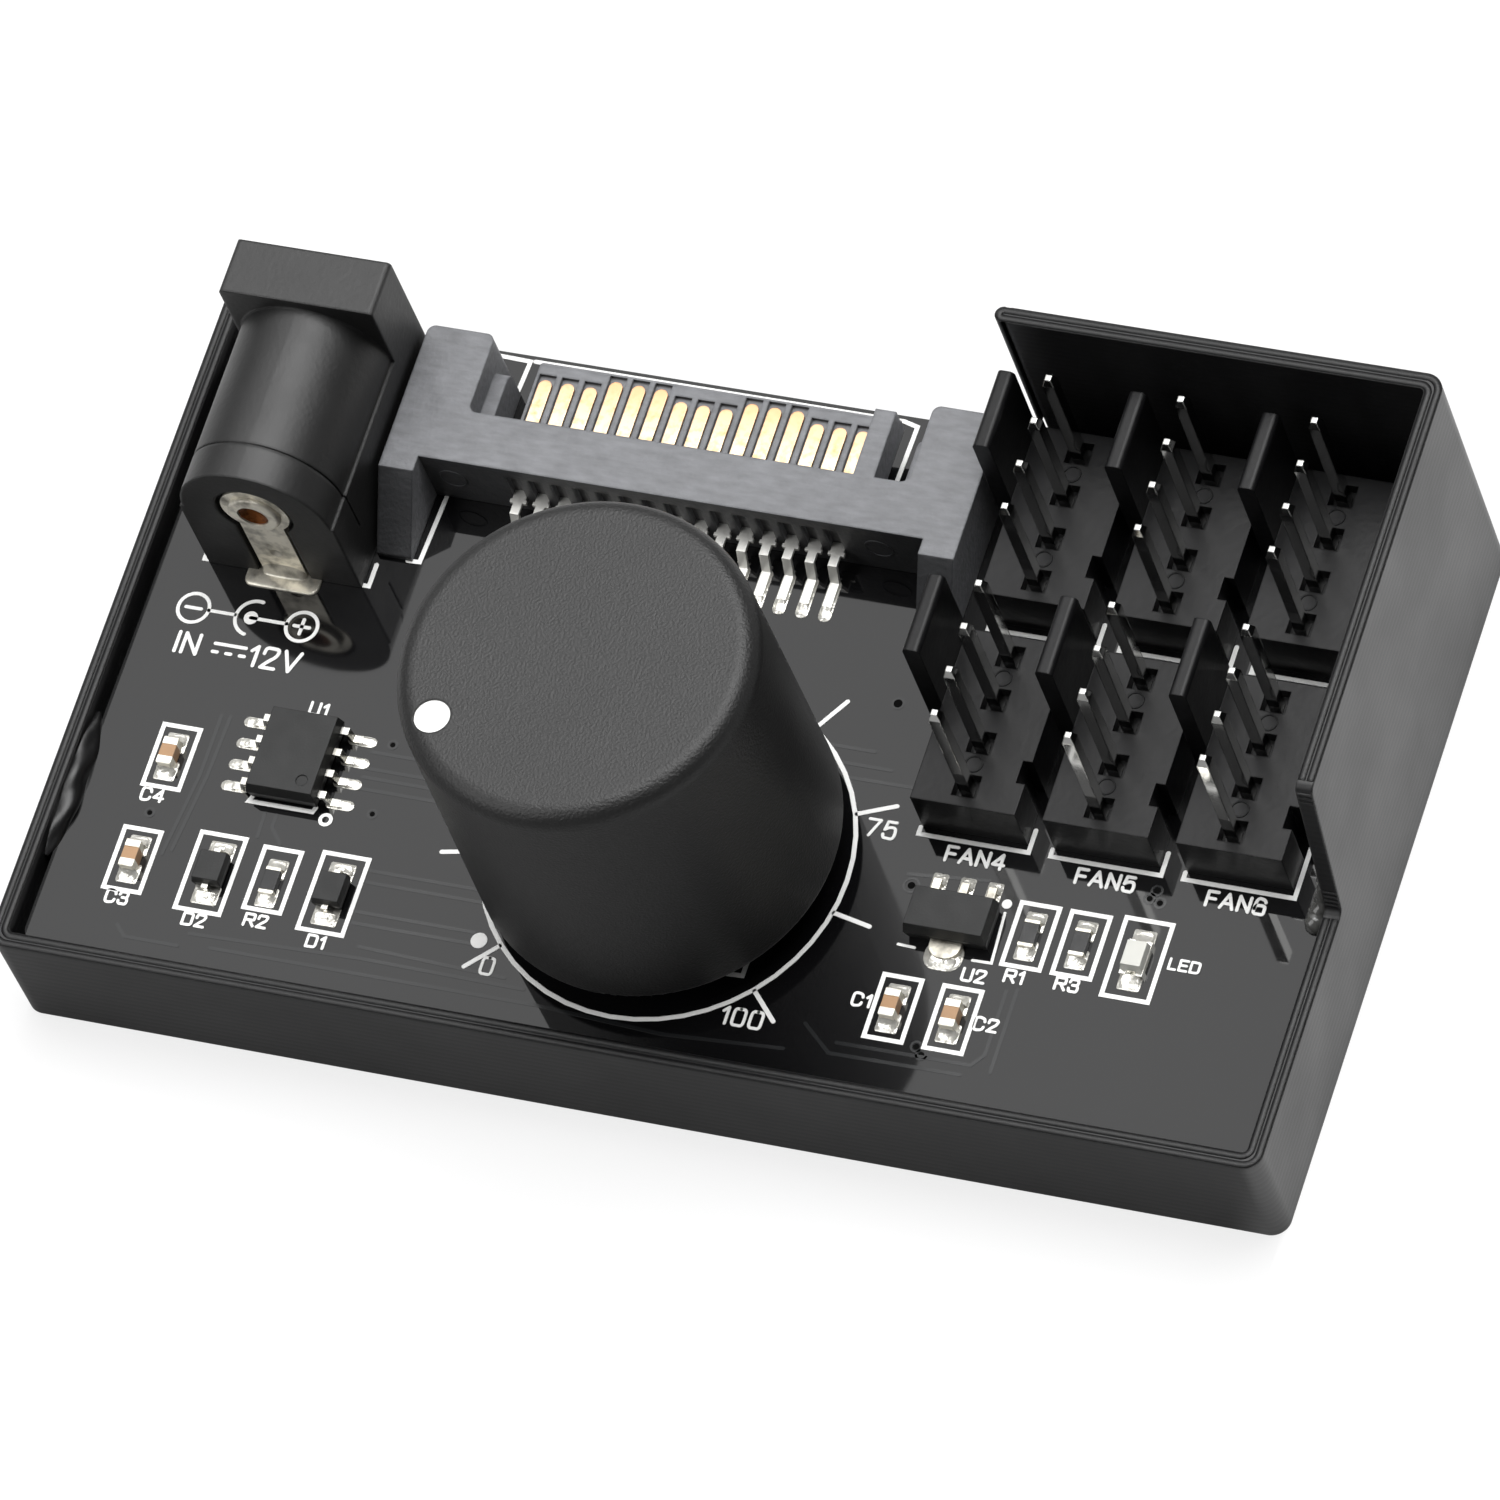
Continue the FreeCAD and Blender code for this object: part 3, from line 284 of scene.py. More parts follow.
def ribbon(path: Any, width: float, height: float, loop: bool = False) -> Surface:
    """Flat line of ink or copper: a low rectangle carried along a path, with mitred corners and round ends.

    At each point the two sides lie half a width away along the mean of the neighbouring normals, divided by
    the cosine of half the turn. An open end runs on as a half circle.

    Args:
        path: Points of the middle line.
        width: Width of the line.
        height: Thickness of the line.
        loop: Closes the path.

    Returns:
        The closed surface, standing on Z = 0.
    """
    line = np.array(path, dtype=float)
    half = np.full(len(line), width / 2)
    if not loop:
        swell = np.radians(END_ANGLES)
        first, last = unit(np.array([line[1] - line[0], line[-1] - line[-2]]))
        reach = (width / 2 * np.sin(swell))[:, None]
        line = np.concatenate([line[:1] - reach * first, line, (line[-1:] + reach * last)[::-1]])
        half = np.concatenate([width / 2 * np.cos(swell), half, width / 2 * np.cos(swell)[::-1]])
    ahead = unit(np.roll(line, -1, axis=0) - line)
    if not loop:
        ahead[-1] = ahead[-2]
    behind = np.roll(ahead, 1, axis=0)
    if not loop:
        behind[0] = ahead[0]
    mean = unit(ahead + behind)
    side = np.stack([-mean[:, 1], mean[:, 0]], axis=1)
    side *= (half / np.maximum(np.sum(mean * ahead, axis=1), MITRE_LIMIT))[:, None]
    low, high = np.zeros((len(line), 1)), np.full((len(line), 1), height)
    corners = [(side, low), (side, high), (-side, high), (-side, low)]
    return stack(np.stack([np.hstack([line + edge, z]) for edge, z in corners], axis=1), loop)


def half_round(path: np.ndarray, up: Sequence[float], width: float, rise: float) -> Surface:
    """Low bead carried along a path in space: across the path a half ellipse, sunk a hair below it.

    Args:
        path: Points of its middle line.
        up: The way its top points.
        width: Its width.
        rise: Its height.

    Returns:
        The closed surface.
    """
    side, top = square_to(path, up)
    around = np.linspace(0, math.pi, 7)
    spread = (width / 2 * np.cos(around))[None, :, None] * side[:, None, :]
    lift = (rise * np.sin(around) - BEAD_SUNK)[None, :, None] * top[:, None, :]
    return stack(path[:, None, :] + spread + lift)


def arc(radius: float, start: float, end: float, steps: int = 48) -> list[tuple[float, float]]:
    """Path along a circle about the origin, between two angles in degrees."""
    angle = np.radians(np.linspace(start, end, steps))
    return list(zip(radius * np.cos(angle), radius * np.sin(angle)))


def solder_ramp(length: float, half_width: float, height: float, toe: float = 0.03) -> Surface:
    """Solder fillet that falls along +Y: a half ellipse whose height is (1 - s) to the power 1.8.

    Args:
        length: Reach of the fillet.
        half_width: Half its width.
        height: Height against the part.
        toe: Height of its far end.

    Returns:
        The closed surface, standing on Z = 0.
    """
    along = np.linspace(0, 1, 9)
    around = np.linspace(math.pi, 0, 12)
    rise = toe + (height - toe) * (1 - along) ** 1.8
    spread = half_width * (1 - 0.25 * along ** 3)
    x = spread[:, None] * np.cos(around)[None, :]
    z = rise[:, None] * np.sin(around)[None, :] ** 0.7
    y = np.broadcast_to((length * along)[:, None], x.shape)
    return stack(np.stack([x, y, z], axis=2))


# Single-stroke capitals and digits on the letter grid: width, then strokes; a curve's points pull it along
GLYPHS: dict[str, tuple[float, list[list[tuple[float, float]]]]] = {
    "A": (4.4, [[(0, 0), (2.2, 6), (4.4, 0)], [(0.8, 2), (3.6, 2)]]),
    "C": (4.0, [[(4, 4.4), (3.6, 6), (0.2, 6.5), (0, 3), (0.2, -0.5), (3.6, 0), (4, 1.6)]]),
    "D": (4.0, [[(0, 0), (0, 6)], [(0, 6), (2.4, 6), (4, 5.8), (4, 3), (4, 0.2), (2.4, 0), (0, 0)]]),
    "E": (3.6, [[(3.6, 6), (0, 6), (0, 0), (3.6, 0)], [(0, 3.1), (3.2, 3.1)]]),
    "F": (3.4, [[(3.4, 6), (0, 6), (0, 0)], [(0, 3.1), (2.9, 3.1)]]),
    "I": (0.2, [[(0.1, 0), (0.1, 6)]]),
    "L": (3.2, [[(0, 6), (0, 0), (3.2, 0)]]),
    "N": (3.9, [[(0, 0), (0, 6), (3.9, 0), (3.9, 6)]]),
    "R": (4.0, [[(0, 0), (0, 6)], [(0, 6), (2.4, 6), (4, 6), (4, 4.5), (4, 3), (2.4, 3), (0, 3)],
                [(2, 3), (4.1, 0)]]),
    "U": (3.9, [[(0, 6), (0, 2.5), (0, -0.1), (1.95, -0.1), (3.9, -0.1), (3.9, 2.5), (3.9, 6)]]),
    "V": (4.2, [[(0, 6), (2.1, 0), (4.2, 6)]]),
    "0": (3.7, [[(1.85, 6), (0.1, 6), (0, 3), (0.1, 0), (1.85, 0), (3.6, 0), (3.7, 3), (3.6, 6), (1.85, 6)]]),
    "1": (1.8, [[(0.2, 4.5), (1.6, 6), (1.6, 0)]]),
    "2": (3.7, [[(0, 4.3), (0.2, 6.1), (1.9, 6.1), (3.8, 6), (3.5, 3.8), (1.6, 2), (0.1, 0)],
                [(0.1, 0), (3.7, 0)]]),
    "3": (3.6, [[(0, 4.6), (0.4, 6.1), (1.9, 6.1), (3.5, 6.1), (3.5, 3.2), (1.3, 3.2)],
                [(1.3, 3.2), (3.7, 3.2), (3.7, -0.1), (1.8, -0.1), (0.3, -0.1), (0, 1.4)]]),
    "4": (3.9, [[(2.9, 0), (2.9, 6), (0, 1.7), (3.9, 1.7)]]),
    "5": (3.6, [[(3.3, 6), (0.6, 6), (0.2, 3)],
                [(0.2, 3), (1.8, 4.2), (3.7, 3.8), (3.6, -0.1), (1.8, -0.1), (0.3, 0), (0, 1.3)]]),
    "6": (3.7, [[(3.5, 5.1), (2.9, 6.2), (0.5, 6.6), (0, 2.8), (0.1, -0.1), (1.9, -0.1), (3.7, -0.1),
                 (3.75, 1.8), (3.6, 3.5), (1.9, 3.6), (0.4, 3.4), (0.1, 1.9)]]),
    "7": (3.6, [[(0, 6), (3.6, 6), (1.1, 0)]]),
}


def eased(path: Sequence[tuple[float, float]], rounds: int = 3) -> np.ndarray:
    """Rounds a path by cutting each corner at a quarter and three quarters of its two sides, several times.

    Args:
        path: Points that pull the curve.
        rounds: How often the corners are cut.

    Returns:
        Points of the curve, with the path's own ends.
    """
    line = np.array(path, dtype=float)
    for _ in range(rounds):
        near, far = 0.75 * line[:-1] + 0.25 * line[1:], 0.25 * line[:-1] + 0.75 * line[1:]
        line = np.concatenate([line[:1], np.stack([near, far], axis=1).reshape(-1, 2), line[-1:]])
    return line


def lettering(text: str, cap_height: float, thickness: float, weight: float, stretch: float) -> Surface:
    """Words drawn with strokes of one width, centred on the origin.

    A straight stroke is drawn side by side, each side with round ends. Each line stands a hair higher than
    the one before it, so that no two tops lie in one plane.

    Args:
        text: Capitals and digits.
        cap_height: Height of a capital over its strokes.
        thickness: Height of the ink.
        weight: Stroke width as a share of the height.
        stretch: Widening of the letters.

    Returns:
        The letters, standing on Z = 0.
    """
    step = cap_height * (1 - weight) / GRID_HEIGHT
    scale = np.array([step * stretch, step])
    strokes: list[Surface] = []
    cursor = -(sum(GLYPHS[letter][0] for letter in text) + GRID_GAP * (len(text) - 1)) / 2
    for letter in text:
        width, paths = GLYPHS[letter]
        for path in paths:
            sides = [eased(path)] if len(path) >= CURVE_POINTS else list(zip(path, path[1:]))
            for side in sides:
                middle = (np.array(side, dtype=float) + np.array([cursor, -GRID_HEIGHT / 2])) * scale
                strokes.append(ribbon(middle, weight * cap_height, thickness + HAIR * len(strokes)))
        cursor += width + GRID_GAP
    return Surface.joined(strokes)


Tree = bpy.types.NodeTree
Socket = bpy.types.NodeSocket
Inputs = dict[Any, Any]


def add_node(tree: Tree, kind: str, inputs: Optional[Inputs] = None, **settings: Any) -> bpy.types.Node:
    """Adds one shader node, sets it up and links what feeds it.

    Args:
        tree: Node tree of the material or world.
        kind: Node type.
        inputs: Sockets by name or number, each a plain value, the output that feeds it, or a node whose
            first output does.
        settings: Properties of the node.

    Returns:
        The node.
    """
    node = tree.nodes.new(kind)
    for key, value in settings.items():
        setattr(node, key, value)
    for key, value in (inputs or {}).items():
        if isinstance(value, bpy.types.Node):
            value = value.outputs[0]
        if isinstance(value, Socket):
            tree.links.new(value, node.inputs[key])
        else:
            node.inputs[key].default_value = value
    return node


@dataclass(frozen=True)
class Finish:
    """A plain opaque surface.

    Attributes:
        name: Material name, the real material's.
        colour: sRGB hex colour.
        roughness: Surface roughness.
        ior: Index of refraction.
        metallic: 1 on bare metal.
        slot: The record's material slot; not used.
    """

    name: str
    colour: str
    roughness: float
    ior: float = 1.5
    metallic: float = 0.0
    slot: str = ""

    def material(self) -> bpy.types.Material:
        """Gives the finish's material, made on first use.

        Returns:
            The material.
        """
        known = bpy.data.materials.get(self.name)
        if known:
            return known
        material = bpy.data.materials.new(self.name)
        material.use_nodes = True
        tree = material.node_tree
        tree.nodes.clear()
        place = add_node(tree, "ShaderNodeTexCoord").outputs["Object"]
        inputs: Inputs = {"Base Color": srgb(self.colour), "Roughness": self.roughness,
                          "Metallic": self.metallic}
        if not self.metallic:
            inputs["IOR"] = self.ior
        inputs.update(self.detail(tree, place))
        shader = add_node(tree, "ShaderNodeBsdfPrincipled", inputs)
        add_node(tree, "ShaderNodeOutputMaterial", {"Surface": shader})
        material.diffuse_color = srgb(self.colour)
        return material

    def detail(self, tree: Tree, place: Socket) -> Inputs:
        """Gives the shader's inputs that vary over the surface; a plain finish has none."""
        return {}

    @staticmethod
    def relief(tree: Tree, height: Socket, depth_mm: float, edge_mm: float, strength: Any = 1.0) -> Socket:
        """Bumps the surface, on edges that the light sees rounded.

        Args:
            tree: Material node tree.
            height: Height as a share of the depth.
            depth_mm: Depth of the relief.
            edge_mm: Radius of the edges.
            strength: How much of it shows, a value or the output that says where.

        Returns:
            The bumped normal.
        """
        edge = add_node(tree, "ShaderNodeBevel", {"Radius": edge_mm * MM}, samples=EDGE_SAMPLES)
        bump = add_node(tree, "ShaderNodeBump", {
            "Height": height, "Distance": depth_mm * MM, "Strength": strength, "Normal": edge})
        return bump.outputs[0]


@dataclass(frozen=True)
class MouldedPlastic(Finish):
    """Injection-moulded plastic: a fine sparked grain from the tool, soft cloudiness and rubbed patches.

    Attributes:
        grain_mm: Grain width.
        grain_depth_mm: Depth of the grain.
        cloud_mm: Size of the soft patches.
        shade: How much the patches change the colour, as a share.
        gloss_change: How much the patches change the roughness.
        edge_mm: Radius that the light sees on sharp edges.
    """

    grain_mm: float = 0.25
    grain_depth_mm: float = 0.006
    cloud_mm: float = 5.0
    shade: float = 0.25
    gloss_change: float = 0.1
    edge_mm: float = 0.05

    def detail(self, tree: Tree, place: Socket) -> Inputs:
        """Grain as bump, clouds in colour and roughness.

        Args:
            tree: Material node tree.
            place: Object coordinates.

        Returns:
            Inputs of the shader.
        """
        grain = add_node(tree, "ShaderNodeTexNoise", {
            "Vector": place, "Scale": 1 / (self.grain_mm * MM), "Detail": 2.0})
        normal = self.relief(tree, grain.outputs[0], self.grain_depth_mm, self.edge_mm)
        cloud = add_node(tree, "ShaderNodeTexNoise", {
            "Vector": place, "Scale": 1 / (self.cloud_mm * MM), "Detail": 4.0})
        tone = srgb(self.colour)
        dark = tuple(value * (1 - self.shade) for value in tone[:3]) + (1.0,)
        light = tuple(value * (1 + self.shade) for value in tone[:3]) + (1.0,)
        colour = add_node(tree, "ShaderNodeMix", {"Factor": cloud, 6: dark, 7: light}, data_type="RGBA")
        rough = add_node(tree, "ShaderNodeMapRange", {
            "Value": cloud, "To Min": self.roughness - self.gloss_change,
            "To Max": self.roughness + self.gloss_change})
        return {"Base Color": colour.outputs[2], "Roughness": rough.outputs[0], "Normal": normal}


@dataclass(frozen=True)
class FibreNylon(MouldedPlastic):
    """Glass-filled nylon: fibres in streaks along X, and painted shade that darkens the front faces.

    Attributes:
        streak_mm: Width of the streaks.
        streak_shade: How much the streaks change the colour, as a share.
        painted_front_shade: Painted shade: brightness of the front faces' colour, as a share.
        painted_shade_range: Share of the normal in Y where a face gets the full painted shade, and where it
            gets none.
        drawn: How far the streaks are squeezed along each axis.
    """

    streak_mm: float = 0.35
    streak_shade: float = 0.14
    painted_front_shade: float = 0.25
    painted_shade_range: tuple[float, float] = (-0.5, -0.15)
    drawn: tuple[float, float, float] = (0.3, 1.0, 1.0)

    def detail(self, tree: Tree, place: Socket) -> Inputs:
        """Adds the streaks and the painted shade on the front faces to the moulded plastic's detail.

        Args:
            tree: Material node tree.
            place: Object coordinates.

        Returns:
            Inputs of the shader.
        """
        inputs = super().detail(tree, place)
        drawn = add_node(tree, "ShaderNodeVectorMath", {0: place, 1: self.drawn}, operation="MULTIPLY")
        streak = add_node(tree, "ShaderNodeTexNoise", {
            "Vector": drawn, "Scale": 1 / (self.streak_mm * MM), "Detail": 3.0})
        share = add_node(tree, "ShaderNodeMapRange", {
            "Value": streak, "From Min": 0.3, "From Max": 0.7, "To Min": 1 - self.streak_shade,
            "To Max": 1 + self.streak_shade})
        # Painted shade: faces whose normal points to the front get a darker colour
        facing = add_node(tree, "ShaderNodeNewGeometry")
        way = add_node(tree, "ShaderNodeSeparateXYZ", {0: facing.outputs["True Normal"]})
        front = add_node(tree, "ShaderNodeMapRange", {
            "Value": way.outputs["Y"], "From Min": self.painted_shade_range[0], "From Max": self.painted_shade_range[1],
            "To Min": self.painted_front_shade, "To Max": 1.0})
        tone = add_node(tree, "ShaderNodeMath", {0: share, 1: front}, operation="MULTIPLY")
        colour = add_node(tree, "ShaderNodeVectorMath", {
            0: inputs["Base Color"], "Scale": tone}, operation="SCALE")
        return {**inputs, "Base Color": colour.outputs[0]}


@dataclass(frozen=True)
class PrintedPlastic(Finish):
    """Filament-printed plastic: level layers on the walls, none on level faces.

    The layers are drawn coarser than the real 0.2 mm, which would be finer than a pixel.

    Attributes:
        layer_mm: Layer height.
        layer_depth_mm: Depth of the valley between two layers.
        edge_mm: Radius that the light sees on sharp edges.
        wander_mm: Size of the patches in which layers and gloss wander.
        sway_mm: How far a layer wanders up and down.
        valley: Power that makes the valleys narrower than the layers.
        level_limit: Upward share of the normal from which a face is level.
        gloss_range: Least and greatest change of the roughness.
    """

    layer_mm: float = 0.45
    layer_depth_mm: float = 0.007
    edge_mm: float = 0.2
    wander_mm: float = 6.0
    sway_mm: float = 0.06
    valley: float = 0.45
    level_limit: float = 0.8
    gloss_range: tuple[float, float] = (-0.08, 0.1)

    def detail(self, tree: Tree, place: Socket) -> Inputs:
        """Layers from height, with a soft wander in them and in the gloss.

        Args:
            tree: Material node tree.
            place: Object coordinates.

        Returns:
            Inputs of the shader.
        """
        wander = add_node(tree, "ShaderNodeTexNoise", {
            "Vector": place, "Scale": 1 / (self.wander_mm * MM), "Detail": 3.0})
        axes = add_node(tree, "ShaderNodeSeparateXYZ", {0: place})
        shift = add_node(tree, "ShaderNodeMath", {
            0: wander, 1: self.sway_mm * MM, 2: axes.outputs["Z"]}, operation="MULTIPLY_ADD")
        count = add_node(tree, "ShaderNodeMath", {0: shift, 1: self.layer_mm * MM}, operation="DIVIDE")
        share = add_node(tree, "ShaderNodeMath", {0: count, 1: 0.5}, operation="PINGPONG")
        layer = add_node(tree, "ShaderNodeMath", {0: share, 1: self.valley}, operation="POWER")
        facing = add_node(tree, "ShaderNodeNewGeometry")
        up = add_node(tree, "ShaderNodeSeparateXYZ", {0: facing.outputs["True Normal"]})
        upright = add_node(tree, "ShaderNodeMath", {
            0: up.outputs["Z"], 1: self.level_limit}, operation="LESS_THAN")
        normal = self.relief(tree, layer.outputs[0], self.layer_depth_mm, self.edge_mm, upright.outputs[0])
        rough = add_node(tree, "ShaderNodeMapRange", {
            "Value": wander, "To Min": self.roughness + self.gloss_range[0],
            "To Max": self.roughness + self.gloss_range[1]})
        return {"Roughness": rough.outputs[0], "Normal": normal}


@dataclass(frozen=True)
class SolderMask(Finish):
    """Glossy solder mask on a board: a mirror-like film with a faint orange peel and dull smears.

    Attributes:
        peel_mm: Width of the orange peel.
        peel_depth_mm: Depth of the orange peel.
        smear_mm: Size of the smears.
        dulling: Share of the roughness outside and inside a smear.
    """

    peel_mm: float = 2.5
    peel_depth_mm: float = 0.0022
    smear_mm: float = 9.0
    dulling: tuple[float, float] = (0.6, 2.2)

    def detail(self, tree: Tree, place: Socket) -> Inputs:
        """Orange peel as bump and smears in the roughness.

        Args:
            tree: Material node tree.
            place: Object coordinates.

        Returns:
            Inputs of the shader.
        """
        peel = add_node(tree, "ShaderNodeTexNoise", {
            "Vector": place, "Scale": 1 / (self.peel_mm * MM), "Detail": 1.0})
        bump = add_node(tree, "ShaderNodeBump", {
            "Height": peel, "Distance": self.peel_depth_mm * MM, "Strength": 1.0})
        smear = add_node(tree, "ShaderNodeTexNoise", {
            "Vector": place, "Scale": 1 / (self.smear_mm * MM), "Detail": 5.0})
        rough = add_node(tree, "ShaderNodeMapRange", {
            "Value": smear, "From Min": 0.35, "From Max": 0.7, "To Min": self.roughness * self.dulling[0],
            "To Max": self.roughness * self.dulling[1]})
        return {"Roughness": rough.outputs[0], "Normal": bump.outputs[0]}


@dataclass(frozen=True)
class PlatedMetal(Finish):
    """Plated metal: bright, with a drawn or reflowed skin that breaks up its reflections.

    Attributes:
        ripple_mm: Width of the ripples.
        ripple_depth_mm: Depth of the ripples.
        tarnish: sRGB hex colour of its duller patches.
        edge_mm: Radius that the light sees on sharp edges.
        dulling: Share of the roughness on bright and on dull patches.
    """

    ripple_mm: float = 0.5
    ripple_depth_mm: float = 0.01
    tarnish: str = "#b9b4a8"
    edge_mm: float = 0.06
    dulling: tuple[float, float] = (0.7, 1.3)

    def detail(self, tree: Tree, place: Socket) -> Inputs:
        """Ripples as bump, tarnish in the colour and in the roughness.

        Args:
            tree: Material node tree.
            place: Object coordinates.

        Returns:
            Inputs of the shader.
        """
        ripple = add_node(tree, "ShaderNodeTexNoise", {
            "Vector": place, "Scale": 1 / (self.ripple_mm * MM), "Detail": 3.0})
        normal = self.relief(tree, ripple.outputs[0], self.ripple_depth_mm, self.edge_mm)
        patch = add_node(tree, "ShaderNodeMapRange", {"Value": ripple, "From Min": 0.45, "From Max": 0.75})
        colour = add_node(tree, "ShaderNodeMix", {
            "Factor": patch, 6: srgb(self.colour), 7: srgb(self.tarnish)}, data_type="RGBA")
        rough = add_node(tree, "ShaderNodeMapRange", {
            "Value": ripple, "To Min": self.roughness * self.dulling[0],
            "To Max": self.roughness * self.dulling[1]})
        return {"Base Color": colour.outputs[2], "Roughness": rough.outputs[0], "Normal": normal}


@dataclass(frozen=True)
class PlatedContact(PlatedMetal):
    """Contact strip: gold plate behind a line in Y, redder to the blade's tip, and tin in front of the line.

    Attributes:
        border_mm: The line, in the part's frame.
        tin: sRGB hex colour of the tinned end.
        tin_metallic: Metallic share of the tinned end, whose dull skin also scatters.
        tip: sRGB hex colour of the blade's tip.
        tip_run_mm: Where the tip's colour starts and is full, behind the line.
    """

    border_mm: float = 0.0
    tin: str = "#ecebe6"
    tin_metallic: float = 0.6
    tip: str = "#c99a74"
    tip_run_mm: tuple[float, float] = (2.0, 4.7)

    def detail(self, tree: Tree, place: Socket) -> Inputs:
        """Adds the change of plating to the plated metal's detail.

        Args:
            tree: Material node tree.
            place: Object coordinates.

        Returns:
            Inputs of the shader.
        """
        inputs = super().detail(tree, place)
        axes = add_node(tree, "ShaderNodeSeparateXYZ", {0: place})
        behind = add_node(tree, "ShaderNodeMath", {
            0: axes.outputs["Y"], 1: self.border_mm * MM}, operation="GREATER_THAN")
        out = add_node(tree, "ShaderNodeMapRange", {
            "Value": axes.outputs["Y"], "From Min": (self.border_mm + self.tip_run_mm[0]) * MM,
            "From Max": (self.border_mm + self.tip_run_mm[1]) * MM})
        gold = add_node(tree, "ShaderNodeMix", {
            "Factor": out, 6: inputs["Base Color"], 7: srgb(self.tip)}, data_type="RGBA")
        colour = add_node(tree, "ShaderNodeMix", {
            "Factor": behind, 6: srgb(self.tin), 7: gold.outputs[2]}, data_type="RGBA")
        metal = add_node(tree, "ShaderNodeMapRange", {
            "Value": behind, "To Min": self.tin_metallic, "To Max": self.metallic})
        return {**inputs, "Base Color": colour.outputs[2], "Metallic": metal.outputs[0]}


@dataclass(frozen=True)
class Clear(MouldedPlastic):
    """Clear or milky plastic that lets light through.

    Attributes:
        passing: Share of the light that passes.
    """

    passing: float = 0.6

    def detail(self, tree: Tree, place: Socket) -> Inputs:
        """Adds transmission to the moulded plastic's detail."""
        return {**super().detail(tree, place), "Transmission Weight": self.passing}


def plug_middle_mm() -> float:
    """Middle of the drive plug in Y, in the part's frame, where the plating of its contacts changes."""
    low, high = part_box("sata_plug_housing")
    return (low[1] + high[1]) / 2 / MM


# Tray: black filament, satin, drawn in level layers
PRINTED_BLACK = PrintedPlastic("printed_black_filament", "#141415", 0.4, ior=1.46, slot="printed_black")
# Board: black solder mask over bare laminate, close to a mirror
BLACK_MASK = SolderMask("black_solder_mask", "#0c0c0d", 0.035, ior=1.52, slot="solder_mask")
# Traces: the same mask over copper, a shade lighter
MASK_ON_COPPER = SolderMask("black_mask_on_copper", "#1b1c1d", 0.12, ior=1.52, slot="solder_mask")
# Via holes: a dull black disc over each drilled hole, painted shade for its dark inside
VIA_HOLE_SHADE = Finish("painted_via_hole_shade", "#050505", 0.9, ior=1.2, slot="solder_mask")
# Ink: white epoxy ink, flat and slightly uneven
WHITE_INK = MouldedPlastic("white_legend_ink", "#ececea", 0.5, slot="white_paint", grain_mm=0.12,
                           grain_depth_mm=0.004, cloud_mm=1.5, shade=0.06)
# Knob: black plastic with a fine even spark grain, dull
KNOB_BLACK = MouldedPlastic("sparked_black_knob_plastic", "#121212", 0.48, slot="knob_black", grain_mm=0.14,
                            grain_depth_mm=0.037, cloud_mm=6.0, shade=0.1, gloss_change=0.05, edge_mm=0.2)
# Jack: glass-filled nylon, satin with a softly polished barrel
JACK_BLACK = MouldedPlastic("black_jack_nylon", "#131313", 0.5, ior=1.55, slot="jack_black", grain_mm=0.3,
                            grain_depth_mm=0.014, cloud_mm=3.0, shade=0.2, gloss_change=0.08, edge_mm=0.22)
# Headers: glass-filled polyester, satin with flow marks
HEADER_BLACK = MouldedPlastic("black_header_polyester", "#121213", 0.34, ior=1.29, slot="header_black",
                              grain_mm=0.4, grain_depth_mm=0.01, cloud_mm=1.6, shade=0.25, edge_mm=0.1)
# Drive plug: grey high-temperature nylon, its fibres in a dry, streaky speckle; its front faces carry painted
# shade
PLUG_GREY = FibreNylon("grey_plug_nylon", "#6c6d70", 0.55, slot="plug_grey", grain_mm=0.25,
                       grain_depth_mm=0.03, cloud_mm=2.0, shade=0.3, gloss_change=0.06, edge_mm=0.2)
# Packages: black epoxy moulding compound, matt
EPOXY_BLACK = MouldedPlastic("black_epoxy_moulding", "#101111", 0.52, ior=1.43, slot="package_black",
                             grain_mm=0.12, grain_depth_mm=0.006, cloud_mm=1.0, shade=0.15, edge_mm=0.06)
# Capacitors: fired tan ceramic
TAN_CERAMIC = MouldedPlastic("tan_capacitor_ceramic", "#a07b56", 0.4, slot="ceramic_tan", grain_mm=0.1,
                             grain_depth_mm=0.004, cloud_mm=0.8, shade=0.15)
# Resistors: black glass glaze
BLACK_GLAZE = MouldedPlastic("black_resistor_glaze", "#121213", 0.2, slot="resistor_black", grain_mm=0.2,
                             grain_depth_mm=0.003, cloud_mm=0.8)
# Light: white ceramic-filled resin with a milky lens
WHITE_RESIN = MouldedPlastic("white_led_resin", "#d2d1c9", 0.45, slot="led_white", grain_mm=0.15,
                             grain_depth_mm=0.004, cloud_mm=0.6, shade=0.06)
MILKY_LENS = Clear("milky_led_lens", "#cfcfc8", 0.2, slot="led_clear", grain_mm=0.3, grain_depth_mm=0.003,
                   cloud_mm=0.6, shade=0.04, gloss_change=0.05, passing=0.15)
# Pot: brown phenolic base, carbon track
BROWN_PHENOLIC = MouldedPlastic("brown_pot_phenolic", "#3c2a1e", 0.5, slot="pot_brown")
CARBON = MouldedPlastic("carbon_track", "#181818", 0.4, slot="carbon", grain_mm=0.1)
# Pins, leads and terminals: bright tin over brass, slightly drawn
BRIGHT_TIN = PlatedMetal("bright_tin_plate", "#dcdbd5", 0.18, metallic=1.0, slot="tinned", ripple_mm=1.5,
                         ripple_depth_mm=0.004, tarnish="#c6c2b8")
# Header pins: drawn square wire, smooth as a mirror, so that they show the dark bay
PIN_TIN = PlatedMetal("drawn_pin_tin", "#c8c8c6", 0.1, metallic=1.0, slot="tinned", ripple_mm=2.0,
                      ripple_depth_mm=0.002, tarnish="#bdbdba", edge_mm=0.1)
# Jack strip: matt tin that took some flux, cream and mottled
MATT_TIN = PlatedMetal("matt_tin_plate", "#e9e4d6", 0.36, metallic=0.6, slot="tinned", ripple_mm=0.9,
                       ripple_depth_mm=0.03, tarnish="#77736a")
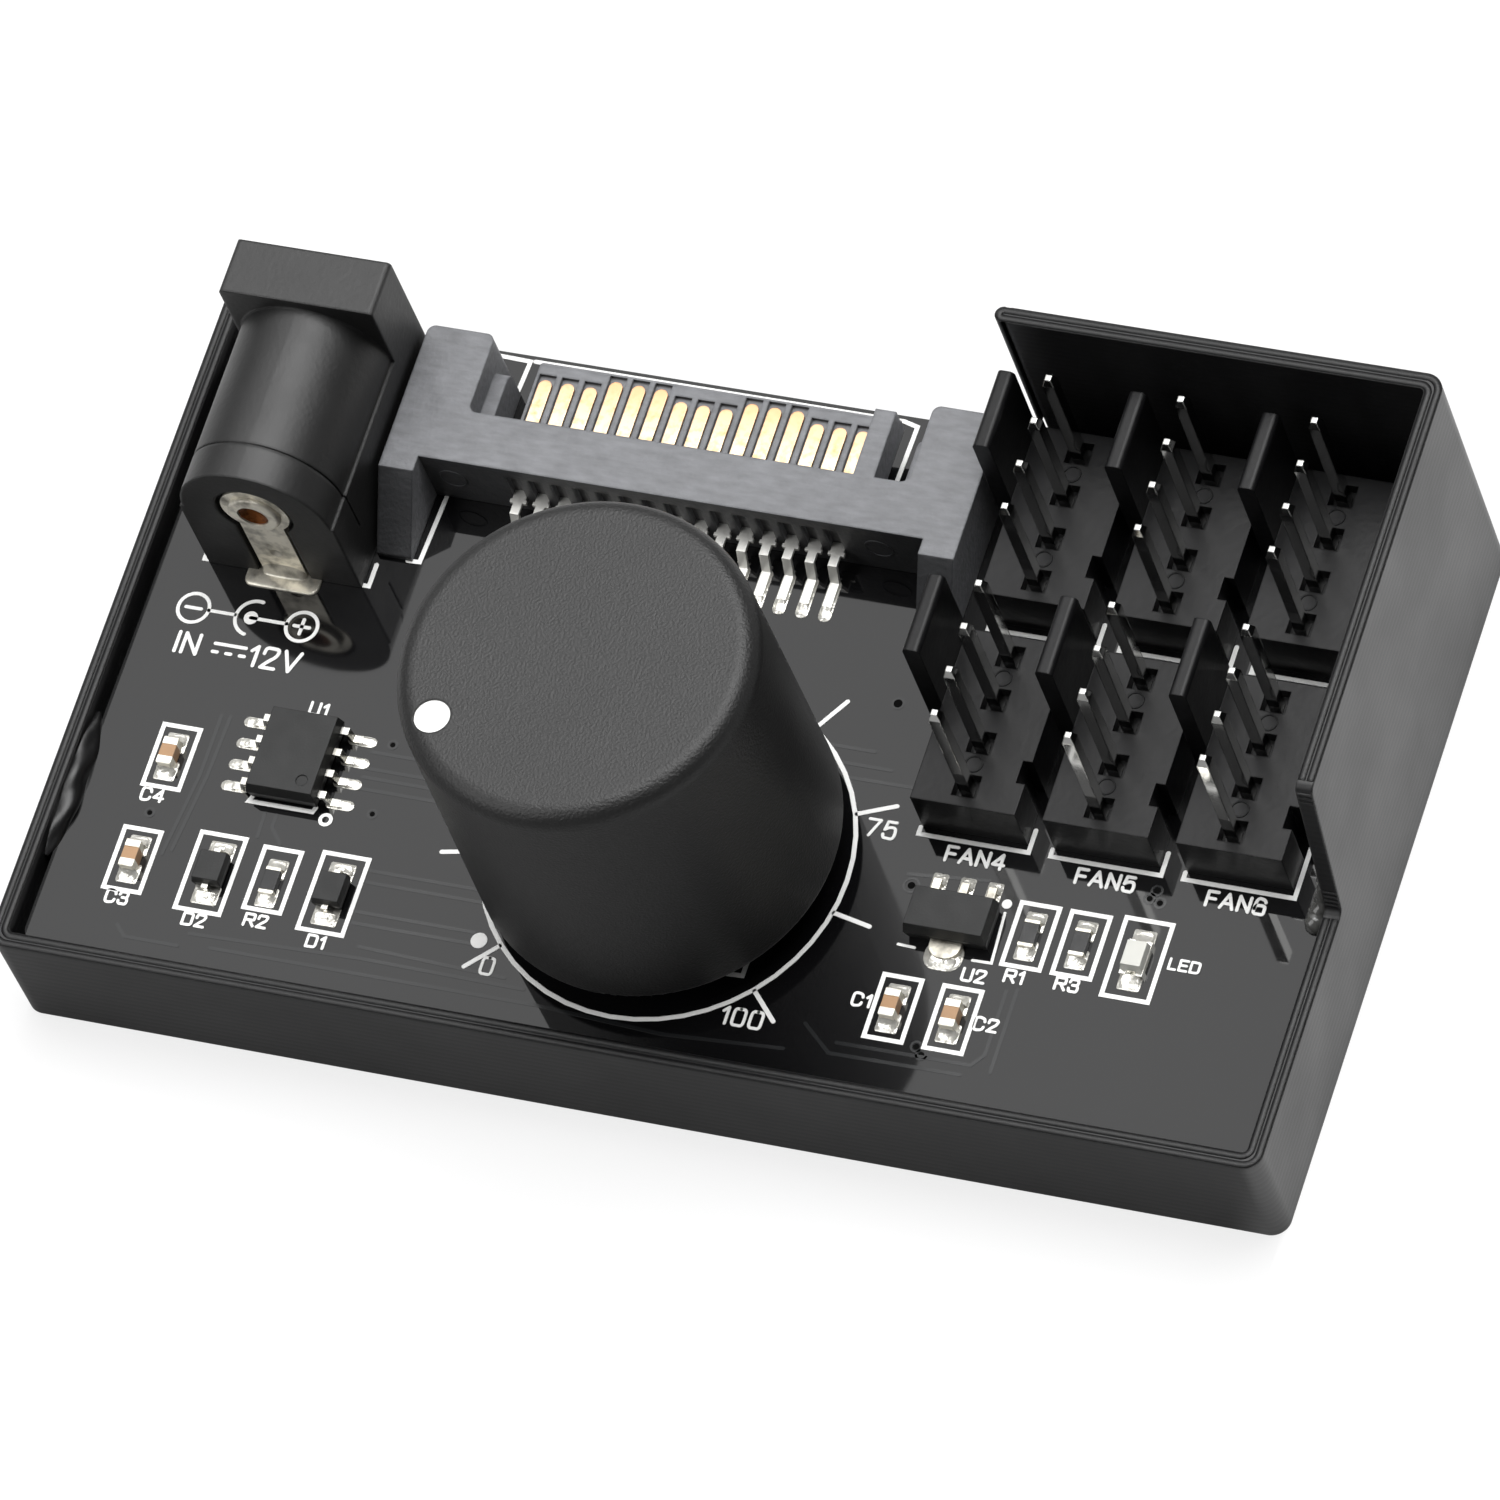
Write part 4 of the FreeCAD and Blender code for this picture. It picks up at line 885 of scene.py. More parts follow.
# End caps: plated tin, smooth and cream
CAP_TIN = PlatedMetal("end_cap_tin", "#eeeade", 0.36, metallic=0.6, slot="tinned", ripple_mm=0.6,
                      ripple_depth_mm=0.012, tarnish="#cfc9b8")
# Solder: reflowed tin alloy, bright and lumpy
SOLDER = PlatedMetal("reflowed_solder", "#f4f2ea", 0.24, metallic=0.64, slot="tinned", ripple_mm=0.38,
                     ripple_depth_mm=0.07, tarnish="#dedbd2")
# Contacts: pale gold on the blades, tin on the leads
CONTACT_PLATE = PlatedContact("gold_plated_contact", "#d8c2a6", 0.34, metallic=1.0, slot="gold_plate",
                              ripple_mm=0.4, ripple_depth_mm=0.004, tarnish="#b6976c",
                              border_mm=plug_middle_mm())
# Springs and the bare rivet hole: brass and heat-browned copper
SPRING_BRASS = PlatedMetal("spring_brass", "#c9a45c", 0.3, metallic=1.0, slot="spring_metal",
                           tarnish="#a8813f")
BROWNED_COPPER = PlatedMetal("browned_copper", "#8a532d", 0.35, metallic=1.0, slot="spring_metal",
                             ripple_mm=0.3, tarnish="#4c2b14")
# Glue: clear cyanoacrylate drip, and a smear that took the case's black
CLEAR_GLUE = Clear("clear_glue", "#5c5c5a", 0.12, slot="glue_clear", grain_mm=0.7, grain_depth_mm=0.06,
                   cloud_mm=0.9, shade=0.3, gloss_change=0.05, passing=0.4)
DARK_GLUE = MouldedPlastic("dark_glue", "#0b0b0c", 0.4, slot="glue_dark", grain_mm=0.8, grain_depth_mm=0.03,
                           cloud_mm=1.0, gloss_change=0.06)


def add_object(name: str, data: Any) -> bpy.types.Object:
    """Puts data into the scene.

    Args:
        name: Name of the object.
        data: Its mesh, camera or lamp.

    Returns:
        The object, at the origin.
    """
    thing = bpy.data.objects.new(name, data)
    bpy.context.scene.collection.objects.link(thing)
    return thing


def make_piece(name: str, surface: Surface, finish: Finish, body: Body = Body.BASE,
               replaced: Sequence[str] = (), smooth: float = 35.0) -> bpy.types.Object:
    """Makes one object of a surface, dresses it and rides it on a body.

    Args:
        name: Piece name.
        surface: Its mesh in millimetres of the dial's frame.
        finish: Its finish.
        body: The body that carries it.
        replaced: CAD nodes that it stands for.
        smooth: Edges flatter than this many degrees are shaded smooth.

    Returns:
        The object.
    """
    mesh = bpy.data.meshes.new(name)
    mesh.from_pydata(DATUM.metres(surface.points).tolist(), [], surface.faces)
    mesh.materials.append(finish.material())
    mesh.polygons.foreach_set("use_smooth", np.ones(len(mesh.polygons), dtype=bool))
    mesh.set_sharp_from_angle(angle=math.radians(smooth))
    mesh.update()
    piece = add_object(name, mesh)
    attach(piece, body.value)
    if replaced:
        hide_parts(*replaced)
    log.info("made %s: %d faces on %s", name, len(surface.faces), body.value)
    return piece


def dress(finish: Finish, *nodes: str) -> None:
    """Gives CAD nodes a finish.

    Args:
        finish: The finish.
        nodes: Names of the nodes.
    """
    for node in nodes:
        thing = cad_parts[node]
        if not thing.material_slots:
            thing.data.materials.append(None)
        for place in thing.material_slots:
            place.material = finish.material()
        log.info("dressed %s in %s", node, finish.name)


@dataclass
class Tray:
    """Printed tray with the two print lines on its rim and the glue that holds the board.

    Attributes:
        wall: Wall thickness.
        line_width: Width of one print line.
        line_rise: How far a print line stands up from the rim.
        corner_radii: Corner radius of the outer and the inner print line.
        rim: Low rim over the board.
        bay: Tall rim over the board.
        slope_foot: Where the slope from the low to the tall rim starts, in Y.
        slope_run: How far the slope runs back.
        slope_radius: Rounding at the slope's foot and head.
        bay_left: Left end of the tall back wall.
        line_places: Middle of the outer and the inner print line, as a share of the wall.
        ring_levels: Heights of the rings on the slope.
        ring_size: Width and rise of a ring.
        ring_inset: How far a ring's ends keep from the wall's faces.
        drip_start: Start of the glue run: in from the wall's face, in Y and over the board.
        drip_run: How far it runs off the wall and to the front.
        drip_foot: Height of its middle at the end.
        drip_radii: Its radius at the start, and how much it swells.
        drip_wave: Depth of its wrinkles, as a share of the radius.
    """

    wall: float = 0.9
    line_width: float = 0.42
    line_rise: float = 0.055
    corner_radii: tuple[float, float] = (0.78, 0.52)
    rim: float = 1.1
    bay: float = 11.2
    slope_foot: float = 2.48
    slope_run: float = 1.4
    slope_radius: float = 0.5
    bay_left: float = 12.26
    line_places: tuple[float, float] = (0.25, 0.75)
    ring_levels: tuple[float, ...] = (1.5, 1.85, 2.2, 2.55, 10.05, 10.4, 10.75)
    ring_size: tuple[float, float] = (0.24, 0.07)
    ring_inset: float = 0.08
    drip_start: tuple[float, float, float] = (0.1, 3.5, 5.5)
    drip_run: tuple[float, float] = (0.55, 2.0)
    drip_foot: float = 0.05
    drip_radii: tuple[float, float] = (0.12, 0.75)
    drip_wave: float = 0.08

    def corner_run(self, inset: float, radius: float) -> tuple[np.ndarray, np.ndarray]:
        """Paths of one print line: on the low rim round the front, on the tall rim round the bay.

        Args:
            inset: How far the line's middle lies inside the wall's outer face.
            radius: Corner radius of the path.

        Returns:
            The low path and the tall path in plan.
        """
        low, high = DATUM.node_box("case")
        left, front = low[0] + inset, low[1] + inset
        right, back = high[0] - inset, high[1] - inset
        quarter = np.radians(np.linspace(0, 90, 9))
        bend = radius * np.stack([np.cos(quarter), np.sin(quarter)], axis=1)
        low_run = np.concatenate([
            [[left, back - 1.0]],
            np.column_stack([left + radius - bend[:, 0], front + radius - bend[:, 1]]),
            np.column_stack([right - radius + bend[::-1, 0], front + radius - bend[::-1, 1]]),
            [[right, self.slope_foot - self.slope_radius]],
        ])
        tall_run = np.concatenate([
            [[right, self.slope_foot + self.slope_run + self.slope_radius]],
            np.column_stack([right - radius + bend[:, 0], back - radius + bend[:, 1]]),
            [[self.bay_left + 0.05, back]],
        ])
        return low_run, tall_run

    def print_lines(self) -> list[Surface]:
        """Print lines on both rims, two side by side, joined by a turn at the tall one's left end.

        Returns:
            The outer and the inner low line, and the tall one.
        """
        places = zip(self.line_places, self.corner_radii)
        outer, inner = (self.corner_run(share * self.wall, radius) for share, radius in places)
        turn = np.radians(np.linspace(90, 270, 9))
        bend = self.wall / 4 * np.column_stack([np.cos(turn), np.sin(turn)])
        end = bend + np.array([self.bay_left, (outer[1][-1, 1] + inner[1][-1, 1]) / 2])
        tall = np.concatenate([outer[1], end, inner[1][::-1]])
        lines = []
        for run, z in ((outer[0], self.rim), (inner[0], self.rim), (tall, self.bay)):
            path = np.column_stack([run, np.full(len(run), z)])
            lines.append(half_round(path, (0, 0, 1), self.line_width, self.line_rise))
        return lines

    def bay_end(self) -> Surface:
        """Round left end of the tall back wall: an upright half cylinder on the low rim.

        Returns:
            The closed surface.
        """
        _, high = DATUM.node_box("case")
        outline = np.array(arc(self.wall / 2, 90, 270, 16))
        return slab(outline, self.bay - self.rim).moved(self.bay_left, high[1] - self.wall / 2, self.rim)

    def slope_rings(self) -> list[Surface]:
        """Layers that show as rings across the slope, close to its foot and its head.

        Returns:
            One surface for each ring.
        """
        _, high = DATUM.node_box("case")
        climb = self.bay - self.rim
        face = (0, -climb, self.slope_run)
        across = np.linspace(high[0] - self.wall + self.ring_inset, high[0] - self.ring_inset, 3)
        rings = []
        for z in self.ring_levels:
            y = self.slope_foot + (z - self.rim) / climb * self.slope_run
            path = np.column_stack([across, np.full(3, y), np.full(3, z)])
            rings.append(half_round(path, face, *self.ring_size))
        return rings

    def drip(self) -> Surface:
        """Glue that ran down the right wall and pooled on the board: a tube that swells in their corner.

        At s from 0 to 1 its middle falls as (1 - s) squared and turns to the front as s cubed. Its radius
        swells as s to the power 1.5 and closes at the end, and waves along s and round it, over the angle t,
        stand for its wrinkles. What would lie behind the wall's face or below the board is laid flat on them.

        Returns:
            The closed surface.
        """
        _, high = DATUM.node_box("glue_bead_right")
        inset, back, fall = self.drip_start
        off, forward = self.drip_run
        thin, swell = self.drip_radii
        s = np.linspace(0, 1, 64)[:, None]
        t = np.radians(np.arange(0, 360, 15))[None, :]
        x = high[0] - inset - off * s ** 1.5
        path = np.hstack([x, back - forward * s ** 3, fall * (1 - s) ** 2 + self.drip_foot])
        side, top = square_to(path, (1, 0, 0))
        wave = 1 + self.drip_wave * np.sin(40 * s + 2 * t) * np.sin(3 * t + 9 * s)
        radius = (thin + swell * s ** 1.5 * np.sqrt(1 - s ** 8)) * wave
        around = np.cos(t)[:, :, None] * side[:, None] + np.sin(t)[:, :, None] * top[:, None]
        points = path[:, None] + radius[:, :, None] * around
        points[:, :, 0] = np.minimum(points[:, :, 0], high[0])
        points[:, :, 2] = np.maximum(points[:, :, 2], 0.0)
        return stack(points)

    def smear(self) -> Surface:
        """Glue in the corner of board and left wall: a quarter spindle with soft waves.

        Along it at s from 0 to 1 its radius is the node's times sin(pi s) to the power 0.6.

        Returns:
            The closed surface.
        """
        low, high = DATUM.node_box("glue_bead_left")
        count = 60
        along = np.linspace(0.02, 0.98, count)
        around = np.linspace(0, math.pi / 2, 16)
        wave = np.sin(along[:, None] * 14.5) * np.cos(around[None, :] * 3 + along[:, None] * 5.1)
        radius = (np.sin(math.pi * along) ** 0.6)[:, None] * (0.88 + 0.12 * wave)
        reach = (high[0] - low[0]) * radius * np.cos(around)[None, :]
        rise = (high[2] - low[2]) * radius * np.sin(around)[None, :]
        y = np.broadcast_to((low[1] + (high[1] - low[1]) * along)[:, None], reach.shape)
        corner = np.stack([np.full(count, low[0]), y[:, 0], np.zeros(count)], axis=1)
        rings = np.concatenate([np.stack([low[0] + reach, y, rise], axis=2), corner[:, None, :]], axis=1)
        return stack(rings[:, ::-1])

    def build(self) -> None:
        """Dresses the tray and makes its rim lines and both beads."""
        dress(PRINTED_BLACK, "case")
        make_piece("case_rim_lines", Surface.joined(self.print_lines()), PRINTED_BLACK, smooth=70.0)
        make_piece("case_bay_end", self.bay_end(), PRINTED_BLACK)
        make_piece("case_slope_rings", Surface.joined(self.slope_rings()), PRINTED_BLACK, smooth=70.0)
        make_piece("glue_drip_right", self.drip(), CLEAR_GLUE, replaced=["glue_bead_right"])
        make_piece("glue_smear_left", self.smear(), DARK_GLUE, replaced=["glue_bead_left"])


@dataclass
class Legend:
    """White ink on the board: dial, boxes round the small parts, outlines, symbols and plain labels.

    Attributes:
        ink: Thickness of the ink.
        stroke: Usual width of a line.
        dial_radius: Radius of the dial's circle.
        tick_inner: Radius where a tick starts.
        tick_outer: Radius where it ends.
        tick_count: Number of ticks.
        dial_start: Angle of the dial's 0, degrees.
        dial_sweep: Angle from there to its 100, degrees.
        parts: What is inked so far.
    """

    ink: float = 0.03
    stroke: float = 0.25
    dial_radius: float = 9.85
    tick_inner: float = 9.95
    tick_outer: float = 12.05
    tick_count: int = 9
    dial_start: float = 225.0
    dial_sweep: float = -270.0
    parts: list[Surface] = field(default_factory=list)

    def line(self, *path: tuple[float, float], width: Optional[float] = None, loop: bool = False) -> None:
        """Inks one line along a path, of the usual stroke if no width is given."""
        self.parts.append(ribbon(path, width or self.stroke, self.ink, loop))

    def box(self, x: float, y: float, size_x: float, size_y: float) -> None:
        """Inks a rectangle about a middle."""
        signs = ((-1, -1), (1, -1), (1, 1), (-1, 1))
        self.line(*[(x + a * size_x / 2, y + b * size_y / 2) for a, b in signs], loop=True)

    def words(self, text: str, x: float, y: float, cap_height: float, weight: float = 0.15,
              stretch: float = 1.1) -> None:
        """Inks letters about a middle."""
        self.parts.append(lettering(text, cap_height, self.ink, weight, stretch).moved(x, y))

    def spot(self, x: float, y: float, radius: float) -> None:
        """Inks a filled dot."""
        self.parts.append(slab(circle(radius, 24), self.ink).moved(x, y))

    def ring(self, x: float, y: float, radius: float, start: float = 0.0, end: float = 360.0,
             width: Optional[float] = None) -> None:
        """Inks a circle or, between two angles, an arc.

        Args:
            x: Its middle.
            y: Its middle.
            radius: Its radius.
            start: First angle in degrees.
            end: Last angle in degrees.
            width: Its line width, the usual stroke if left out.
        """
        whole = end - start >= 360
        path = arc(radius, start, end - 7.5 if whole else end)
        self.line(*[(x + a, y + b) for a, b in path], width=width, loop=whole)

    def piece(self, name: str) -> None:
        """Makes what is inked so far one piece and starts afresh."""
        make_piece(name, Surface.joined(self.parts), WHITE_INK, smooth=30.0)
        self.parts = []

    def dial(self) -> None:
        """Circle, ticks and numbers of the dial."""
        self.ring(0, 0, self.dial_radius)
        for index in range(self.tick_count):
            angle = math.radians(self.dial_start + self.dial_sweep * index / (self.tick_count - 1))
            way = np.array([math.cos(angle), math.sin(angle)])
            self.line(tuple(self.tick_inner * way), tuple(self.tick_outer * way))
        self.words("0", -7.3, -8.27, 1.1)
        self.words("75", 10.72, 3.2, 1.1)
        self.words("100", 6.85, -8.63, 1.1)
        self.spot(-8.21, -6.93, 0.45)
        self.line((5.05, -6.35), (6.13, -6.3), (6.14, -5.35))
        self.piece("legend_dial")

    def small_parts(self) -> None:
        """Boxes and labels of the small parts."""
        small = ((-27.96, 0.35), (-28.04, -5.83), (14.45, -6.63), (17.72, -6.67), (-20.2, -5.59),
                 (20.27, -1.33), (23.01, -1.34))
        large = ((-23.62, -5.82), (-16.73, -5.77), (26.11, -1.61))
        for size, places in (((2.05, 3.6), small), ((2.5, 4.5), large)):
            for place in places:
                self.box(*place, *size)
        labels = {"C4": (-28.23, -1.98), "C3": (-28.15, -8.08), "D2": (-23.61, -8.6), "R2": (-20.32, -8.04),
                  "D1": (-16.75, -8.61), "R1": (20.12, -3.72), "R3": (22.94, -3.65), "LED": (28.62, -1.5),
                  "C1": (12.7, -6.47), "C2": (19.49, -6.64), "U1": (-21.02, 4.5), "U2": (18.03, -4.06)}
        for text, (x, y) in labels.items():
            self.words(text, x, y, 0.72 if text == "LED" else 0.82, 0.19, 1.15)
        self.ring(-18.56, -1.69, 0.29, width=0.2)
        self.spot(18.5, 0.22, 0.27)
        self.line((-22.88, -1.1), (-22.99, -1.38), (-19.4, -1.38), (-19.3, -1.1))
        self.line((18.55, -0.3), (18.72, -3.2), (17.7, -3.22), width=0.16)
        self.line((13.6, -3.04), (14.5, -3.08), width=0.16)
        self.piece("legend_small_parts")

    def inlets(self) -> None:
        """Symbols at the barrel jack and outlines of both inlets."""
        thin = 0.2
        self.ring(-29.72, 9.07, 0.86, width=thin)
        self.line((-30.15, 9.07), (-29.29, 9.07), width=thin)
        self.line((-28.86, 9.07), (-27.35, 9.07), width=thin)
        self.ring(-26.28, 9.05, 1.02, 78, 258, width=thin)
        self.spot(-26.45, 9.05, 0.39)
        self.line((-26.45, 9.05), (-24.41, 9.05), width=thin)
        self.ring(-23.55, 9.03, 0.86, width=thin)
        self.line((-23.98, 9.03), (-23.12, 9.03), width=thin)
        self.line((-23.55, 8.6), (-23.55, 9.46), width=thin)
        self.words("IN", -29.35, 7.0, 1.35, 0.15, 1.08)
        self.line((-27.85, 7.25), (-26.1, 7.25), width=thin)
        for start in (-27.85, -27.08, -26.31):
            self.line((start, 6.76), (start + 0.26, 6.76), width=thin)
        self.words("12V", -24.38, 6.9, 1.35, 0.15, 1.1)
        self.line((-30.1, 12.6), (-30.1, 12.0), (-29.75, 12.0))
        self.line((-21.3, 12.0), (-20.75, 12.0), (-20.75, 13.3))
        self.line((-18.49, 26.6), (-16.42, 26.53), (-16.62, 23.04))
        self.line((-16.15, 26.57), (4.61, 26.55), (5.4, 26.35), (5.3, 23.1))
        self.line((-18.31, 17.9), (-18.5, 13.87), (-19.16, 13.84))
        self.piece("legend_inlets")

    def headers(self) -> None:
        """Outline round each header and labels in front of the front row."""
        for number in range(1, 7):
            low, high = DATUM.node_box(f"fan_header_{number}")
            left, front, right = low[0] + 0.85, low[1] - 0.45, high[0] + 0.2
            side = 2.9 if number == 6 else 1.3
            self.line((left, front + 0.4), (left, front), (right, front), (right, front + side))
            if number > 3:
                x = (low[0] + high[0]) / 2 + 0.9 - 0.14 * (number - 4)
                self.words(f"FAN{number}", x, 2.48, 1.0, 0.18)
        self.piece("legend_headers")

    def build(self) -> None:
        """Inks all of it."""
        self.dial()
        self.small_parts()
        self.inlets()
        self.headers()


@dataclass
class SolderWork:
    """Bare pads and the solder on them.

    Attributes:
        pad_height: Height of a tinned pad.
        pad_edge: How far its edge is eased.
        pitch: Pitch of the chip's leads and of the plug's feet.
        two_ended: Node, count, and sizes as in ends, of the parts with solder at two ends.
        parts: What is laid so far.
    """

    pad_height: float = 0.035
    pad_edge: float = 0.02
    pitch: float = 1.27
    two_ended: tuple[tuple[Any, ...], ...] = (
        ("capacitor_bodies", 4, 0.8, 0.6, 0.5, 0.55),
        ("resistor_bodies", 3, 0.8, 0.56, 0.34, 0.55),
        ("diode_bodies", 2, 1.25, 0.72, 0.26, 0.55),
        ("led_base", 1, 1.0, 0.62, 0.3, 0.7),
    )
    parts: list[Surface] = field(default_factory=list)

    def pad(self, x: float, y: float, size_x: float, size_y: float, radius: float = 0.12) -> None:
        """Lays a tinned pad about a middle."""
        outline = rounded_rectangle(size_x / 2, size_y / 2, radius)
        self.parts.append(slab(outline, self.pad_height, self.pad_edge).moved(x, y))

    def ramp(self, x: float, y: float, turn: float, length: float, half_width: float, height: float) -> None:
        """Runs a fillet from a part's end outwards; turn 0 falls to the back."""
        self.parts.append(solder_ramp(length, half_width, height).moved(x, y, self.pad_height * 0.6, turn))

    def ends(self, x: float, y: float, half_length: float, half_width: float, height: float,
             reach: float) -> None:
        """Pads and fillets at the front and back ends of a small part.

        Args:
            x: Middle of the part.
            y: Middle of the part.
            half_length: Half the part's length in Y.
            half_width: Half the pad's width.
            height: Height of the fillet on the end.
            reach: How far the fillet runs out.
        """
        for way, turn in ((1, 0.0), (-1, 180.0)):
            self.pad(x, y + way * (half_length + reach / 2 - 0.25), half_width * 2, reach + 0.6)
            self.ramp(x, y + way * (half_length - 0.05), turn, reach, half_width * 0.9, height)

    def groups(self, node: str, count: int) -> list[tuple[np.ndarray, np.ndarray]]:
        """Boxes of the separate solids of a node that has several of one kind.

        Args:
            node: CAD node.
            count: How many solids it holds.

        Returns:
            Low and high corner of each solid, in millimetres of the dial's frame.
        """
        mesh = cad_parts[node].data
        points = np.empty(len(mesh.vertices) * 3)
        mesh.vertices.foreach_get("co", points)
        return split_boxes(DATUM.millimetres(points.reshape(-1, 3)), count)

    def build(self) -> None:
        """Lays the solder of every part in view."""
        for node, count, *sizes in self.two_ended:
            for low, high in self.groups(node, count):
                self.ends((low[0] + high[0]) / 2, (low[1] + high[1]) / 2, *sizes)
        self.chip()
        self.regulator()
        self.plug()
        make_piece("solder_small_parts", Surface.joined(self.parts), SOLDER, smooth=60.0)
        self.parts = []
        self.jack()

    def chip(self) -> None:
        """Long round-ended pads under the eight leads."""
        x, y, _ = DATUM.middle("control_chip")
        for index in range(4):
            row = y + (index - 1.5) * self.pitch
            for way, turn in ((1, -90.0), (-1, 90.0)):
                self.pad(x + way * 2.95, row, 1.6, 0.6, 0.29)
                self.ramp(x + way * 2.9, row, turn, 0.65, 0.25, 0.2)

    def regulator(self) -> None:
        """Pads under the three leads and the tab."""
        low, high = DATUM.node_box("voltage_regulator")
        x, front, back = (low[0] + high[0]) / 2, low[1], high[1]
        for index in (-1, 0, 1):
            self.pad(x + index * 1.5, back + 0.7, 0.85, 1.5)
            self.ramp(x + index * 1.5, back + 0.75, 0.0, 0.6, 0.36, 0.3)
        self.pad(x, front - 0.6, 2.1, 1.7, 0.7)
        self.ramp(x, front - 0.75, 180.0, 0.6, 0.75, 0.3)

    def plug(self) -> None:
        """Pads and fillets at the fifteen feet of the drive plug."""
        toe = DATUM.node_box("sata_plug_contacts")[0][1]
        first = DATUM.middle("sata_plug_contacts")[0] - 7 * self.pitch
        for index in range(15):
            x = first + index * self.pitch
            self.pad(x, toe + 0.45, 0.7, 2.5, 0.3)
            self.ramp(x, toe + 0.05, 180.0, 0.65, 0.28, 0.2)

    def jack(self) -> None:
        """Flat solder pad where the jack's rear strip goes into the board, and the fillet up the strip."""
        x = DATUM.middle("dc_jack_pin_terminal")[0]
        y = DATUM.node_box("dc_jack_pin_terminal")[0][1]
        pad = slab(rounded_rectangle(2.1, 0.75, 0.45), 0.12, 0.06).moved(x, y - 0.3)
        fillet = solder_ramp(0.45, 1.25, 0.9).moved(x, y + 0.02, 0.05, 180.0)
        make_piece("solder_jack_strip", Surface.joined([pad, fillet]), MATT_TIN, smooth=60.0)


def split_boxes(points: np.ndarray, count: int) -> list[tuple[np.ndarray, np.ndarray]]:
    """Splits points of equal separate solids into groups at the widest gaps, in X first and then in Y.

    Args:
        points: All vertices.
        count: Number of solids.

    Returns:
        Low and high corner of each group.
    """
    groups = [points]
    while len(groups) < count:
        best = (0.0, 0, 0, 0.0)
        for number, group in enumerate(groups):
            for axis in (0, 1):
                values = np.unique(np.round(group[:, axis], 4))
                gaps = np.diff(values)
                if len(gaps) and gaps.max() > best[0]:
                    widest = int(gaps.argmax())
                    best = (float(gaps.max()), number, axis, float(values[widest] + gaps[widest] / 2))
        group = groups.pop(best[1])
        groups += [group[group[:, best[2]] < best[3]], group[group[:, best[2]] >= best[3]]]
    return [(group.min(axis=0), group.max(axis=0)) for group in groups]


@dataclass
class BoardWork:
    """Board, its vias and the copper that shows through the mask as low relief.

    Attributes:
        copper: Thickness of the copper.
        trace: Width of a trace.
        via_rim: Width of the rim round a via.
        vias: Place of each via, radius of its rim and of its hole.
    """

    copper: float = 0.015
    trace: float = 0.2
    via_rim: float = 0.12
    vias: tuple[tuple[float, float, float, float], ...] = (
        (9.35, 10.4, 0.3, 0.28), (-16.43, 3.2, 0.24, 0.14), (13.25, 0.35, 0.4, 0.2),
        (-16.2, -0.9, 0.24, 0.14), (-28.05, -3.0, 0.24, 0.14), (25.7, 1.9, 0.28, 0.16),
        (26.3, 1.75, 0.28, 0.16), (16.3, -8.5, 0.28, 0.16), (25.95, 2.4, 0.28, 0.16),
        (16.7, -8.9, 0.28, 0.16),
    )

    def traces(self) -> Surface:
        """Copper lines in view, each along its own path.

        Returns:
            All of them in one surface.
        """
        paths = [[(-17.4, y), (-11.0, y)] for y in (2.6, 1.62, 1.1, 0.42)]
        paths += [[(-15.2, y), (-8.6, y)] for y in (-4.1, -4.78, -6.52, -7.18)]
        paths += [[(-25.6, 3.2), (-25.7, -0.4), (-26.15, -4.9)], [(-26.1, 3.2), (-26.1, -0.4), (-26.6, -5.2)],
                  [(-21.25, -1.9), (-21.25, -2.65), (-20.5, -3.5)], [(-21.9, -1.9), (-21.85, -3.3)],
                  [(-23.6, -9.4), (-14.1, -9.1), (-5.0, -9.2)], [(-14.4, -8.45), (-6.2, -8.75)],
                  [(-22.2, -10.0), (-4.0, -9.95), (3.0, -10.3), (9.5, -9.9)]]
        paths += [[(6.4, 7.46), (9.0, 7.46)], [(7.4, 6.57), (10.2, 6.57)], [(8.0, 5.78), (12.4, 5.82)]]
        paths += [[(20.5, -4.4), (20.52, -9.2)], [(19.96, -4.6), (19.95, -8.3), (19.4, -9.0), (12.14, -9.05)],
                  [(19.0, -9.62), (11.9, -9.7), (10.2, -8.3)], [(12.9, 0.95), (17.2, 1.35)]]
        paths += [[(-27.6, -9.6), (-27.0, -10.2), (-24.0, -10.2)]]
        return Surface.joined([ribbon(path, self.trace, self.copper) for path in paths])

    def build(self) -> None:
        """Dresses the board, lays vias with painted shade in their holes, and traces."""
        dress(BLACK_MASK, "circuit_board")
        rims, holes = [], []
        for x, y, rim, hole in self.vias:
            rims.append(ribbon(circle(rim), self.via_rim, self.copper, True).moved(x, y))
            # Each hole is a thin black disc on the board: painted shade for the hole's inside
            holes.append(slab(circle(hole, 24), self.copper / 2).moved(x, y))
        make_piece("board_via_rims", Surface.joined(rims), MASK_ON_COPPER, smooth=60.0)
        make_piece("board_via_hole_shade", Surface.joined(holes), VIA_HOLE_SHADE)
        make_piece("board_traces", self.traces(), MASK_ON_COPPER, smooth=30.0)


